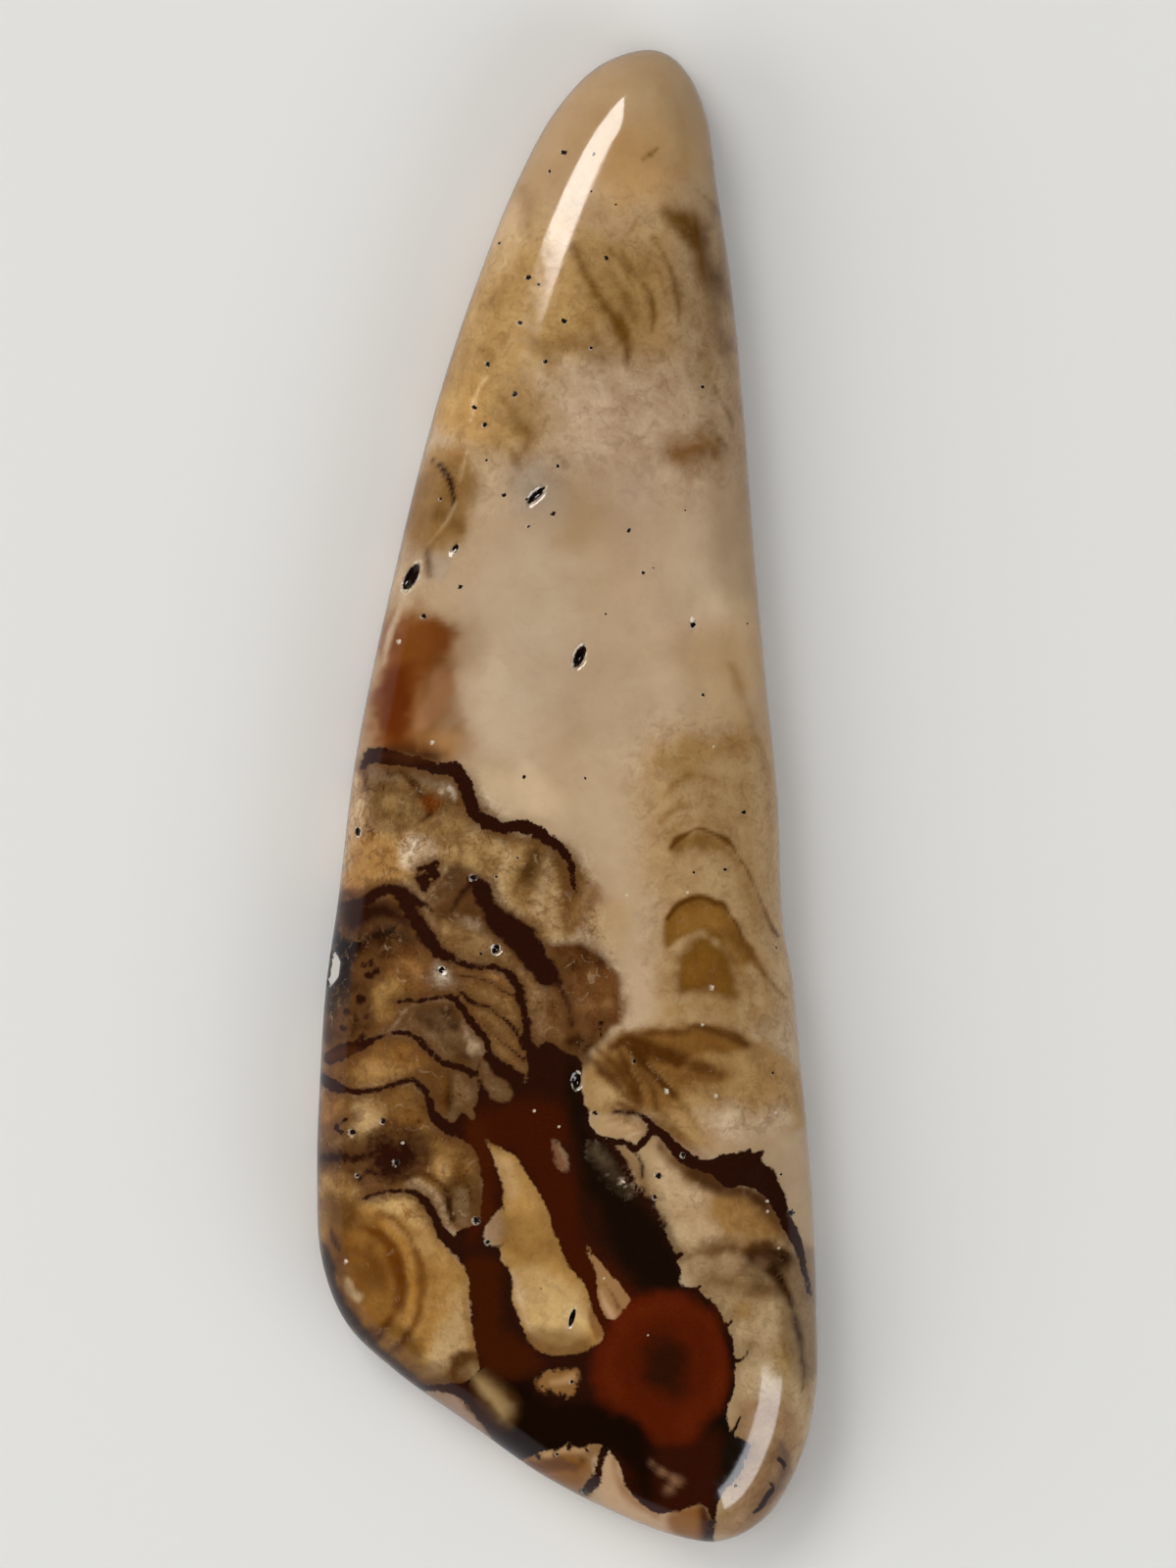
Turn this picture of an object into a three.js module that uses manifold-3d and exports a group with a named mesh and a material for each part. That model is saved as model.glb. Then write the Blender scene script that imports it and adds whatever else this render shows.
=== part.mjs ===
// A freeform cabochon of picture jasper, as a lapidary cuts it from one slab: a long leaning teardrop
// in plan, a polished dome above, a ground flat back below, and a small bevel round the back's edge.
// Millimetres. +Z is up, +Y runs along the stone towards its narrow tip, and the origin is the centre
// of the back, on the surface that the stone rests on.
import * as THREE from "three";
import Module from "manifold-3d";

const wasm = await Module();
wasm.setup();

// Driving dimensions
const THICKNESS = 5.6; // back to the top of the dome over the broad end
const GIRDLE_HEIGHT = 1.6; // where the side stops being upright and the dome begins
const BACK_BEVEL = 0.5; // width and height of the bevel round the back
const SHOULDER_REACH = 5.6; // soft distance from the rim over which the dome rises
const DOME_FULLNESS = 2.2; // 2 is a round shoulder, more is a squarer one

// The girdle seen from above, anticlockwise from the tip, as points of one smooth closed curve
const GIRDLE_POINTS = [
  [3.3, 30.4], [1.4, 29.8], [-0.4, 28.0], [-2.05, 25.0], [-3.65, 21.0], [-5.0, 17.0],
  [-6.1, 13.0], [-7.05, 9.0], [-7.95, 5.0], [-8.7, 1.0], [-9.3, -4.0], [-9.85, -8.0],
  [-10.1, -12.0], [-10.2, -15.5], [-10.0, -19.0], [-9.0, -21.55], [-7.0, -23.5], [-4.0, -25.65],
  [-1.0, -27.75], [2.0, -29.3], [4.5, -30.25], [6.3, -30.45], [8.1, -29.5], [9.5, -27.2],
  [10.15, -24.5], [10.2, -21.0], [10.0, -16.0], [9.6, -11.5], [9.2, -7.3], [8.85, -5.4],
  [8.6, 0.0], [8.1, 5.0], [7.65, 10.0], [7.2, 16.0], [6.7, 21.0], [6.1, 25.0],
  [5.75, 27.5], [5.05, 29.25], [4.2, 30.15],
];

// Rays leave this line square to it and fan round its two ends, out to the girdle
const SPINE_FOOT = new THREE.Vector2(0.2, -19.5);
const SPINE_TIP = new THREE.Vector2(2.9, 26.2);
const SIDE_STATIONS = 46;
const FOOT_FAN = 26;
const TIP_FAN = 14;
const CROWN_RINGS = 18;
const GIRDLE_SAMPLES = 312;

// Natural cavities that the polish has opened: centre, length, width, depth and heading in degrees
const VUGS = [
  { at: [0.52, 5.62], length: 1.0, width: 0.42, depth: 0.4, heading: 66 },
  { at: [-6.32, 8.85], length: 1.25, width: 0.5, depth: 0.45, heading: 62 },
  { at: [-1.25, 12.15], length: 1.0, width: 0.3, depth: 0.3, heading: 42 },
  { at: [-4.52, 10.0], length: 0.42, width: 0.24, depth: 0.25, heading: 65 },
  { at: [5.12, 6.88], length: 0.28, width: 0.26, depth: 0.25, heading: 0 },
  { at: [-2.88, -6.25], length: 0.46, width: 0.28, depth: 0.3, heading: 65 },
  { at: [-5.08, -7.1], length: 0.3, width: 0.26, depth: 0.25, heading: 80 },
  { at: [0.4, -11.6], length: 0.7, width: 0.36, depth: 0.35, heading: 85 },
  { at: [0.22, -21.2], length: 0.75, width: 0.22, depth: 0.25, heading: 72 },
  { at: [-8.5, -1.5], length: 0.42, width: 0.22, depth: 0.25, heading: 95 },
];

// A flake lost from the girdle on the left side
const CHIP = { at: [-9.86, -7.1], height: 2.4, length: 1.5, width: 0.55, depth: 1.0, heading: 97 };

// The closed girdle curve as a ring of points, moved so that its box is centred on the origin.
function girdleRing() {
  const curve = new THREE.CatmullRomCurve3(
    GIRDLE_POINTS.map(([x, y]) => new THREE.Vector3(x, y, 0)), true, "centripetal");
  const ring = curve.getPoints(GIRDLE_SAMPLES).slice(0, GIRDLE_SAMPLES);
  const centre = new THREE.Box3().setFromPoints(ring).getCenter(new THREE.Vector3());
  return ring.map((p) => new THREE.Vector2(p.x - centre.x, p.y - centre.y));
}

// Distance from the girdle as the whole outline sees it: for a straight edge it is the true distance,
// and across a narrow stretch both edges count, so it has no crease along the middle. Each edge adds
// the exact integral of 1 / distance cubed along it.
function softDistance(point, ring) {
  let pull = 0;
  ring.forEach((a, i) => {
    const b = ring[(i + 1) % ring.length];
    const along = b.clone().sub(a);
    const length = along.length();
    along.divideScalar(length);
    const toA = a.clone().sub(point);
    const start = toA.dot(along);
    const end = start + length;
    const off = Math.max(toA.cross(along) ** 2, 1e-8);
    pull += (end / Math.hypot(end, Math.sqrt(off)) - start / Math.hypot(start, Math.sqrt(off))) / off;
  });
  return Math.sqrt(2 / pull);
}

// Height of the dome: upright at the girdle, then a round shoulder that flattens towards the middle.
function domeHeight(point, ring) {
  const rise = Math.min(softDistance(point, ring) / SHOULDER_REACH, 1);
  const share = (1 - (1 - rise) ** DOME_FULLNESS) ** (1 / DOME_FULLNESS);
  return GIRDLE_HEIGHT + (THICKNESS - GIRDLE_HEIGHT) * share;
}

// Where a ray from the spine meets the girdle.
function hitGirdle(origin, heading, ring) {
  let reach = Infinity;
  ring.forEach((a, i) => {
    const edge = ring[(i + 1) % ring.length].clone().sub(a);
    const across = heading.cross(edge);
    if (Math.abs(across) < 1e-9) return;
    const toA = a.clone().sub(origin);
    const t = toA.cross(edge) / across;
    const s = toA.cross(heading) / across;
    if (t > 0 && s >= -1e-9 && s <= 1 + 1e-9) reach = Math.min(reach, t);
  });
  return origin.clone().addScaledVector(heading, reach);
}

// All rays, anticlockwise: down the left side, round the foot, up the right side, round the tip.
function spineRays(ring) {
  const up = SPINE_TIP.clone().sub(SPINE_FOOT).normalize();
  const left = new THREE.Vector2(-up.y, up.x);
  const rays = [];
  const add = (station, turn) => {
    const origin = SPINE_FOOT.clone().lerp(SPINE_TIP, station / SIDE_STATIONS);
    const heading = left.clone().rotateAround(new THREE.Vector2(), turn);
    rays.push({ station, origin, rim: hitGirdle(origin, heading, ring) });
  };
  for (let k = SIDE_STATIONS; k >= 0; k--) add(k, 0);
  for (let k = 1; k < FOOT_FAN; k++) add(0, (Math.PI * k) / FOOT_FAN);
  for (let k = 0; k <= SIDE_STATIONS; k++) add(k, Math.PI);
  for (let k = 1; k < TIP_FAN; k++) add(SIDE_STATIONS, Math.PI + (Math.PI * k) / TIP_FAN);
  return rays;
}

// The stone before its cavities: rings from the top of the dome down to the back, closed along the
// spine above and below.
function stoneGeometry() {
  const ring = girdleRing();
  const rays = spineRays(ring);
  const rings = [];
  for (let k = 1; k < CROWN_RINGS; k++) {
    const share = Math.sin((Math.PI / 2) * (k / CROWN_RINGS)); // closer together near the rim
    rings.push(rays.map(({ origin, rim }) => {
      const p = origin.clone().lerp(rim, share);
      return [p.x, p.y, domeHeight(p, ring)];
    }));
  }
  rings.push(rays.map(({ rim }) => [rim.x, rim.y, GIRDLE_HEIGHT]));
  rings.push(rays.map(({ rim }) => [rim.x, rim.y, BACK_BEVEL]));
  rings.push(rays.map(({ origin, rim }) => {
    const p = rim.clone().lerp(origin, BACK_BEVEL / rim.distanceTo(origin));
    return [p.x, p.y, 0];
  }));

  const count = rays.length;
  const positions = rings.flat(2);
  const topSpine = rings.length * count;
  const backSpine = topSpine + SIDE_STATIONS + 1;
  for (const height of [(p) => domeHeight(p, ring), () => 0]) {
    for (let k = 0; k <= SIDE_STATIONS; k++) {
      const p = SPINE_FOOT.clone().lerp(SPINE_TIP, k / SIDE_STATIONS);
      positions.push(p.x, p.y, height(p));
    }
  }

  const faces = [];
  rays.forEach((ray, j) => {
    const next = (j + 1) % count;
    const other = rays[next];
    for (let r = 0; r + 1 < rings.length; r++) {
      const [a, b] = [r * count + j, r * count + next];
      const [c, d] = [a + count, b + count];
      faces.push(a, c, d, a, d, b);
    }
    const last = (rings.length - 1) * count;
    faces.push(topSpine + ray.station, j, next);
    faces.push(backSpine + ray.station, last + next, last + j);
    if (ray.station !== other.station) {
      faces.push(topSpine + ray.station, next, topSpine + other.station);
      faces.push(backSpine + ray.station, backSpine + other.station, last + next);
    }
  });
  return { positions, faces, ring };
}

function solidFrom(positions, faces) {
  return new wasm.Manifold(new wasm.Mesh({
    numProp: 3,
    vertProperties: new Float32Array(positions),
    triVerts: new Uint32Array(faces),
  }));
}

// A closed faceted ellipsoid that cuts one cavity: its long axis is turned to the heading.
function hollowCutter({ at, length, width, depth, heading }, height) {
  const segments = 10;
  const rows = 6;
  const positions = [0, 0, 1];
  for (let r = 1; r < rows; r++) {
    for (let k = 0; k < segments; k++) {
      const polar = (Math.PI * r) / rows;
      const turn = (2 * Math.PI * k) / segments;
      positions.push(Math.sin(polar) * Math.cos(turn), Math.sin(polar) * Math.sin(turn), Math.cos(polar));
    }
  }
  positions.push(0, 0, -1);
  const foot = positions.length / 3 - 1;
  const faces = [];
  for (let k = 0; k < segments; k++) {
    const next = (k + 1) % segments;
    faces.push(0, 1 + k, 1 + next);
    for (let r = 0; r + 2 < rows; r++) {
      const [a, b] = [1 + r * segments + k, 1 + r * segments + next];
      faces.push(a, a + segments, b + segments, a, b + segments, b);
    }
    faces.push(foot, foot - segments + next, foot - segments + k);
  }
  const place = new THREE.Matrix4().makeTranslation(at[0], at[1], height)
    .multiply(new THREE.Matrix4().makeRotationZ(THREE.MathUtils.degToRad(heading)))
    .multiply(new THREE.Matrix4().makeScale(length / 2, width / 2, depth));
  const placed = new Float32Array(positions);
  new THREE.BufferAttribute(placed, 3).applyMatrix4(place);
  return solidFrom(placed, faces);
}

function jasperCabochon() {
  const { positions, faces, ring } = stoneGeometry();
  let stone = solidFrom(positions, faces);
  for (const vug of VUGS) {
    stone = stone.subtract(hollowCutter(vug, domeHeight(new THREE.Vector2(...vug.at), ring)));
  }
  stone = stone.subtract(hollowCutter(CHIP, CHIP.height));

  const cut = stone.getMesh();
  const geometry = new THREE.BufferGeometry();
  geometry.setAttribute("position", new THREE.BufferAttribute(cut.vertProperties, 3));
  geometry.setIndex(new THREE.BufferAttribute(cut.triVerts, 1));
  geometry.computeVertexNormals();
  const polish = new THREE.MeshStandardMaterial({ color: 0xb9946c, roughness: 0.12, metalness: 0 });
  const mesh = new THREE.Mesh(geometry, polish);
  mesh.name = "jasper_cabochon";
  return mesh;
}

const cabochon = new THREE.Group();
cabochon.add(jasperCabochon());

export default cabochon;
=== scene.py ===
import bpy
import numpy as np
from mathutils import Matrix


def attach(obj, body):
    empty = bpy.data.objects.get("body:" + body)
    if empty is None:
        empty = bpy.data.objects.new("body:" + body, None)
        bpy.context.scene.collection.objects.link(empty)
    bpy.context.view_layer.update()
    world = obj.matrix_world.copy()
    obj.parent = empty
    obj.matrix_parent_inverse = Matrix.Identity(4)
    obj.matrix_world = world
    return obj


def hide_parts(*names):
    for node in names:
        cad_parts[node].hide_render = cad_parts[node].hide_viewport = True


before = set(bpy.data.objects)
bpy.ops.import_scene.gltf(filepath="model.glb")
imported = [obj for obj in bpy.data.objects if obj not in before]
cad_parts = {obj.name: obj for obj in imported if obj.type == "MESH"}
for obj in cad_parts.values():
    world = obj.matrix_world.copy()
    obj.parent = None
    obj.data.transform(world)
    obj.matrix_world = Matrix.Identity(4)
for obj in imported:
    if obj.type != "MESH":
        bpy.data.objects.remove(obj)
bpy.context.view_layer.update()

# The stone's body
# The cabochon is one natural stone. A lapidary sawed it from a slab of picture jasper, ground it to a long
# leaning teardrop with a low dome, polished the dome, and lapped the back flat with a small bevel round it.
# Lengths are in millimetres up to the point where the mesh is made.
MM = 0.001
NODE = "jasper_cabochon"
THICKNESS = 5.6
GIRDLE_HEIGHT = 1.6
BACK_BEVEL = 0.5
SHOULDER_REACH = 5.6
DOME_FULLNESS = 2.2

# The girdle seen from above, anticlockwise from the tip, as points of one smooth closed curve
GIRDLE_POINTS = [
    (3.3, 30.4), (1.4, 29.8), (-0.4, 28.0), (-2.05, 25.0), (-3.65, 21.0), (-5.0, 17.0),
    (-6.1, 13.0), (-7.05, 9.0), (-7.95, 5.0), (-8.7, 1.0), (-9.3, -4.0), (-9.85, -8.0),
    (-10.1, -12.0), (-10.2, -15.5), (-10.0, -19.0), (-9.0, -21.55), (-7.0, -23.5), (-4.0, -25.65),
    (-1.0, -27.75), (2.0, -29.3), (4.5, -30.25), (6.3, -30.45), (8.1, -29.5), (9.5, -27.2),
    (10.15, -24.5), (10.2, -21.0), (10.0, -16.0), (9.6, -11.5), (9.2, -7.3), (8.85, -5.4),
    (8.6, 0.0), (8.1, 5.0), (7.65, 10.0), (7.2, 16.0), (6.7, 21.0), (6.1, 25.0),
    (5.75, 27.5), (5.05, 29.25), (4.2, 30.15),
]
CAD_STEPS = 8
FINE_STEPS = 24
SPINE_FOOT = np.array((0.2, -19.5))
SPINE_TIP = np.array((2.9, 26.2))
BANDED_SHARE = 0.5
BANDED_STATIONS = 214
PLAIN_STATIONS = 122
FOOT_FAN = 280
TIP_FAN = 56
CROWN_RINGS = 78
RIM_CROWDING = 0.06
BACK_RINGS = (0.12, 0.28, 0.45, 0.63, 0.82)
TINY = 1e-9
TINY_AREA = 1e-8


def smooth_curve(points, steps, closed):
    """Centripetal Catmull-Rom curve through the points: between two of them a cubic whose end slopes come
    from the neighbours, each weighed by the square root of its distance. Extra columns, such as a width,
    are carried along by the same cubic."""
    points = np.array(points, float)
    if closed:
        before, start, end, after = (np.roll(points, k, 0) for k in (1, 0, -1, -2))
    else:
        row = np.vstack([2 * points[0] - points[1], points, 2 * points[-1] - points[-2]])
        before, start, end, after = row[:-3], row[1:-2], row[2:-1], row[3:]
    pairs = ((before, start), (start, end), (end, after))
    d0, d1, d2 = (np.sqrt(np.linalg.norm((b - a)[:, :2], axis=1))[:, None] for a, b in pairs)
    slope_in = ((start - before) / d0 - (end - before) / (d0 + d1) + (end - start) / d1) * d1
    slope_out = ((end - start) / d1 - (after - start) / (d1 + d2) + (after - end) / d2) * d1
    t = np.linspace(0, 1, steps, endpoint=False)[None, :, None]
    a, b, m, n = (array[:, None] for array in (start, end, slope_in, slope_out))
    cubic = a + m * t + (-3 * a + 3 * b - 2 * m - n) * t**2 + (2 * a - 2 * b + m + n) * t**3
    line = cubic.reshape(-1, points.shape[1])
    return line if closed else np.vstack([line, points[-1]])


cad_ring = smooth_curve(GIRDLE_POINTS, CAD_STEPS, True)
centre = (cad_ring.min(0) + cad_ring.max(0)) / 2
girdle = smooth_curve(GIRDLE_POINTS, FINE_STEPS, True)


def dome_height(x, y):
    """Height of the dome. The soft distance from the girdle is the root of 2 over the sum, for all its
    edges, of the integral of 1 / distance cubed along the edge. The dome is a superellipse of it."""
    pull = np.zeros_like(x)
    for a, b in zip(girdle, np.roll(girdle, -1, 0)):
        length = np.hypot(*(b - a))
        ux, uy = (b - a) / length
        start = (a[0] - x) * ux + (a[1] - y) * uy
        end = start + length
        off = np.maximum(((a[0] - x) * uy - (a[1] - y) * ux) ** 2, TINY_AREA)
        pull += (end / np.sqrt(end**2 + off) - start / np.sqrt(start**2 + off)) / off
    rise = np.minimum(np.sqrt(2 / pull) / SHOULDER_REACH, 1)
    share = (1 - (1 - rise) ** DOME_FULLNESS) ** (1 / DOME_FULLNESS)
    return GIRDLE_HEIGHT + (THICKNESS - GIRDLE_HEIGHT) * share


def spine_rays():
    """Rays anticlockwise from the tip: down the left side, round the foot, up the right side and round the
    tip. Gives each ray's station on the spine, its start there and its end on the girdle."""
    banded = np.linspace(0, BANDED_SHARE, BANDED_STATIONS, endpoint=False)
    shares = np.concatenate([banded, np.linspace(BANDED_SHARE, 1, PLAIN_STATIONS)])
    last = len(shares) - 1
    side = np.arange(last + 1)
    station = np.concatenate([side[::-1], np.zeros(FOOT_FAN - 1, int), side, np.full(TIP_FAN - 1, last)])
    turn = np.concatenate([
        np.zeros(last + 1), np.pi * np.arange(1, FOOT_FAN) / FOOT_FAN,
        np.full(last + 1, np.pi), np.pi + np.pi * np.arange(1, TIP_FAN) / TIP_FAN,
    ])
    up = (SPINE_TIP - SPINE_FOOT) / np.hypot(*(SPINE_TIP - SPINE_FOOT))
    heading = np.stack([-up[1] * np.cos(turn) - up[0] * np.sin(turn),
                        up[0] * np.cos(turn) - up[1] * np.sin(turn)], 1)
    spine = SPINE_FOOT + shares[:, None] * (SPINE_TIP - SPINE_FOOT)
    origin = spine[station]
    edge = (np.roll(girdle, -1, 0) - girdle)[None]
    to_edge = girdle[None] - origin[:, None]
    across = heading[:, None, 0] * edge[..., 1] - heading[:, None, 1] * edge[..., 0]
    across = np.where(np.abs(across) < TINY, TINY, across)
    reach = (to_edge[..., 0] * edge[..., 1] - to_edge[..., 1] * edge[..., 0]) / across
    along = (to_edge[..., 0] * heading[:, None, 1] - to_edge[..., 1] * heading[:, None, 0]) / across
    hit = (reach > 0) & (along >= -TINY) & (along <= 1 + TINY)
    reach = np.where(hit, reach, np.inf).min(1)
    return station, spine, origin, origin + reach[:, None] * heading


def stone_surface():
    """The whole stone as a grid: rays round the spine by rings from the top of the dome to the back. A ring
    is a share of each ray's length, crowded near the rim by w^2.2 / (w^1.2 + c) with w the rest of the way.
    Below the girdle a short profile of insets and heights gives the bevel with its edges just broken."""
    station, spine, origin, rim = spine_rays()
    rest = 1 - np.arange(1, CROWN_RINGS) / CROWN_RINGS
    shares = 1 - (1 + RIM_CROWDING) * rest**2.2 / (rest**1.2 + RIM_CROWDING)
    crown = origin + shares[:, None, None] * (rim - origin)
    crown_height = dome_height(crown[..., 0].ravel(), crown[..., 1].ravel()).reshape(crown.shape[:2])
    broken = 0.04
    profile = [
        (0, GIRDLE_HEIGHT), (0, 1.2), (0, 0.8), (0, BACK_BEVEL + broken),
        (broken / 3, BACK_BEVEL - broken / 3), (broken, BACK_BEVEL - broken), (0.27, 0.23),
        (BACK_BEVEL - broken, broken),
        (BACK_BEVEL - broken / 3, broken / 4), (BACK_BEVEL + broken, 0),
    ]
    length = np.hypot(*(rim - origin).T)[:, None]
    rows = [np.dstack([crown, crown_height])]
    for inset, height in profile:
        point = rim + (origin - rim) * inset / length
        rows.append(np.hstack([point, np.full_like(length, height)])[None])
    back_start = rim + (origin - rim) * (BACK_BEVEL + broken) / length
    for share in BACK_RINGS:
        point = back_start + (origin - back_start) * share
        rows.append(np.hstack([point, np.zeros_like(length)])[None])
    grid = np.concatenate(rows)
    top = np.column_stack([spine, dome_height(*spine.T)])
    bottom = np.column_stack([spine, np.zeros(len(spine))])
    vertices = np.concatenate([grid.reshape(-1, 3), top, bottom])

    rings, count = grid.shape[:2]
    here = np.arange(count)
    after = (here + 1) % count
    inner = np.arange(rings - 1)[:, None] * count
    outer = inner + count
    quads = np.stack([inner + here, outer + here, outer + after, inner + after], -1).reshape(-1, 4)
    top_at = rings * count + station
    bottom_at = top_at + len(spine)
    last = (rings - 1) * count
    fans = np.concatenate([np.stack([top_at, here, after], 1),
                           np.stack([bottom_at, last + after, last + here], 1)])
    step = station != station[after]
    gaps = np.concatenate([np.stack([top_at, after, top_at[after]], 1)[step],
                           np.stack([bottom_at, bottom_at[after], last + after], 1)[step]])
    return vertices, quads.tolist() + fans.tolist() + gaps.tolist()


vertices, faces = stone_surface()

# Cavities
# Small natural hollows that the polish has opened, and one flake lost from the girdle on the left. Each is
# given by its centre, length, width, depth and heading in degrees.
VUGS = [
    (0.52, 5.62, 1.0, 0.42, 0.4, 66), (-6.32, 8.85, 1.25, 0.5, 0.45, 62), (-1.25, 12.15, 1.0, 0.3, 0.3, 42),
    (-4.52, 10.0, 0.42, 0.24, 0.25, 65), (5.12, 6.88, 0.28, 0.26, 0.25, 0),
    (-2.88, -6.25, 0.46, 0.28, 0.3, 65), (-5.08, -7.1, 0.3, 0.26, 0.25, 80),
    (0.4, -11.6, 0.7, 0.36, 0.35, 85), (0.22, -21.2, 0.75, 0.22, 0.25, 72),
    (-8.5, -1.5, 0.42, 0.22, 0.25, 95),
]
CHIP = {"at": (-9.86, -7.1), "height": 2.4, "half_length": 0.75, "half_height": 1.0, "depth": 0.3}
CHIP_INWARD = 0.8
NO_CAVITY = 9.0

x, y, z = vertices.T
vug_reach = np.full(len(vertices), NO_CAVITY)
for at_x, at_y, length, width, depth, heading in VUGS:
    cos, sin = np.cos(np.radians(heading)), np.sin(np.radians(heading))
    along = ((x - at_x) * cos + (y - at_y) * sin) * 2 / length
    across = ((y - at_y) * cos - (x - at_x) * sin) * 2 / width
    reach = np.where(z > GIRDLE_HEIGHT, np.hypot(along, across), NO_CAVITY)
    vertices[:, 2] -= depth * np.sqrt(np.clip(1 - reach**2, 0, 1))
    vug_reach = np.minimum(vug_reach, reach)
chip_reach = np.hypot((y - CHIP["at"][1]) / CHIP["half_length"], (z - CHIP["height"]) / CHIP["half_height"])
chip_reach = np.where(x < CHIP["at"][0] + CHIP_INWARD, chip_reach, NO_CAVITY)
vertices[:, 0] += CHIP["depth"] * np.sqrt(np.clip(1 - chip_reach**2, 0, 1))

# Markings
# Picture jasper is silica mud coloured by iron and manganese while it set: cream ground, honey and rust
# clouds, and dark brown bands with ragged edges. The colours run through the stone, so a point's colour
# comes from where it lies in plan, and wanders a little with depth below the girdle.
FAR = 3.0
LATTICE = 64
WANDER, WANDER_SIZE = 1.1, 6.0
TREMBLE, TREMBLE_SIZE = 0.05, 0.6
CURVE_STEPS = 5


def cloud(x, y, size, seed):
    """A smooth random value from -1 to 1: random numbers on a square lattice of the given size, blended
    across each cell by 3t^2 - 2t^3 both ways."""
    lattice = np.random.default_rng(seed).uniform(-1, 1, (LATTICE, LATTICE))
    i, j = np.floor(x / size).astype(int), np.floor(y / size).astype(int)
    s, t = x / size - i, y / size - j
    s, t = s * s * (3 - 2 * s), t * t * (3 - 2 * t)
    i, j, right, above = (place % LATTICE for place in (i, j, i + 1, j + 1))
    low = lattice[i, j] * (1 - s) + lattice[right, j] * s
    high = lattice[i, above] * (1 - s) + lattice[right, above] * s
    return low * (1 - t) + high * t


depth = np.clip((GIRDLE_HEIGHT - z) / GIRDLE_HEIGHT, 0, 1)
px = x + WANDER * depth * cloud(x, y, WANDER_SIZE, 11) + TREMBLE * cloud(x, y, TREMBLE_SIZE, 12)
py = y + WANDER * depth * cloud(x, y, WANDER_SIZE, 13) + TREMBLE * cloud(x, y, TREMBLE_SIZE, 14)


def near_box(line, margin):
    """The points of the stone within a margin of the line's box in plan."""
    low, high = line[:, :2].min(0) - margin, line[:, :2].max(0) + margin
    return (px > low[0]) & (px < high[0]) & (py > low[1]) & (py < high[1])


def stroke(points):
    """A band along the smooth curve through the points (x, y, width): half the width there less the distance
    from the curve, in mm, so it is positive inside."""
    line = smooth_curve(points, CURVE_STEPS, False)
    near = near_box(line, FAR)
    qx, qy = px[near], py[near]
    inside = np.full(qx.size, -FAR)
    for (ax, ay, aw), (bx, by, bw) in zip(line[:-1], line[1:]):
        run = max((bx - ax) ** 2 + (by - ay) ** 2, TINY)
        share = np.clip(((qx - ax) * (bx - ax) + (qy - ay) * (by - ay)) / run, 0, 1)
        gap = np.hypot(qx - ax - share * (bx - ax), qy - ay - share * (by - ay))
        inside = np.maximum(inside, (aw + share * (bw - aw)) / 2 - gap)
    shape = np.full(px.size, -FAR)
    shape[near] = inside
    return shape


def patch(points):
    """An area inside the smooth closed curve through the points (x, y): the distance from the curve in mm,
    positive inside, where a line to the right crosses the curve an odd number of times."""
    line = smooth_curve(points, CURVE_STEPS, True)
    near = near_box(line, FAR)
    qx, qy = px[near], py[near]
    gap = np.full(qx.size, FAR)
    inside = np.zeros(qx.size, bool)
    for (ax, ay), (bx, by) in zip(line, np.roll(line, -1, 0)):
        run = max((bx - ax) ** 2 + (by - ay) ** 2, TINY)
        share = np.clip(((qx - ax) * (bx - ax) + (qy - ay) * (by - ay)) / run, 0, 1)
        gap = np.minimum(gap, np.hypot(qx - ax - share * (bx - ax), qy - ay - share * (by - ay)))
        crosses = (ay > qy) != (by > qy)
        inside ^= crosses & (qx < ax + (bx - ax) * (qy - ay) / (by - ay if by != ay else TINY))
    shape = np.full(px.size, -FAR)
    shape[near] = np.where(inside, gap, -gap)
    return shape


def spot(at_x, at_y, radius, tall=1.0):
    """A round or oval spot: its radius less the distance from its middle, positive inside."""
    return np.maximum(radius - np.hypot(px - at_x, (py - at_y) / tall), -FAR)


def tone(red, green, blue):
    """A colour given as 0 to 255 screen values, turned into linear light."""
    share = np.array((red, green, blue)) / 255
    return np.where(share < 0.04045, share / 12.92, ((share + 0.055) / 1.055) ** 2.4)


EDGE_WAVER = 0.8
waver = 0.9 * cloud(px, py, 1.3, 21) + 0.6 * cloud(px, py, 0.55, 22) + 0.4 * cloud(px, py, 0.25, 23)


def lay(layer, shape, colour, soft, strength=1.0):
    """Mix a colour into a layer where a shape is. It fades across the wavering edge over twice the soft
    width."""
    t = np.clip(0.5 + (shape / soft + EDGE_WAVER * waver / (1 + soft)) / 2, 0, 1)
    layer += (strength * t * t * (3 - 2 * t))[:, None] * (tone(*colour) - layer)


def tint(shape, factors, soft):
    """Multiply the ground's red, green and blue by three factors inside a shape."""
    t = np.clip(0.5 + (shape / soft + EDGE_WAVER * waver / (1 + soft)) / 2, 0, 1)[:, None]
    ground[:] *= 1 + t * t * (3 - 2 * t) * (np.array(factors) - 1)


CREAM = (183, 155, 121)
INK = (42, 17, 7)

ground = np.tile(tone(*CREAM), (len(vertices), 1))
dark = np.tile(tone(*INK), (len(vertices), 1))
edge = np.full(len(vertices), -FAR)
blur = np.full(len(vertices), 0.05)
ragged = np.full(len(vertices), 1.0)


def ink(shape, soft=0.05, rough=1.0):
    """Join a shape to the dark bands, with its own softness and raggedness of edge."""
    blur[:] = np.where(shape > edge, soft, blur)
    ragged[:] = np.where(shape > edge, rough, ragged)
    edge[:] = np.maximum(edge, shape)


def clear(shape, soft=0.05, rough=1.0):
    """Take a shape out of the dark bands, so that the ground shows in it."""
    blur[:] = np.where(-shape < edge, soft, blur)
    ragged[:] = np.where(-shape < edge, rough, ragged)
    edge[:] = np.minimum(edge, -shape)


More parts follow.
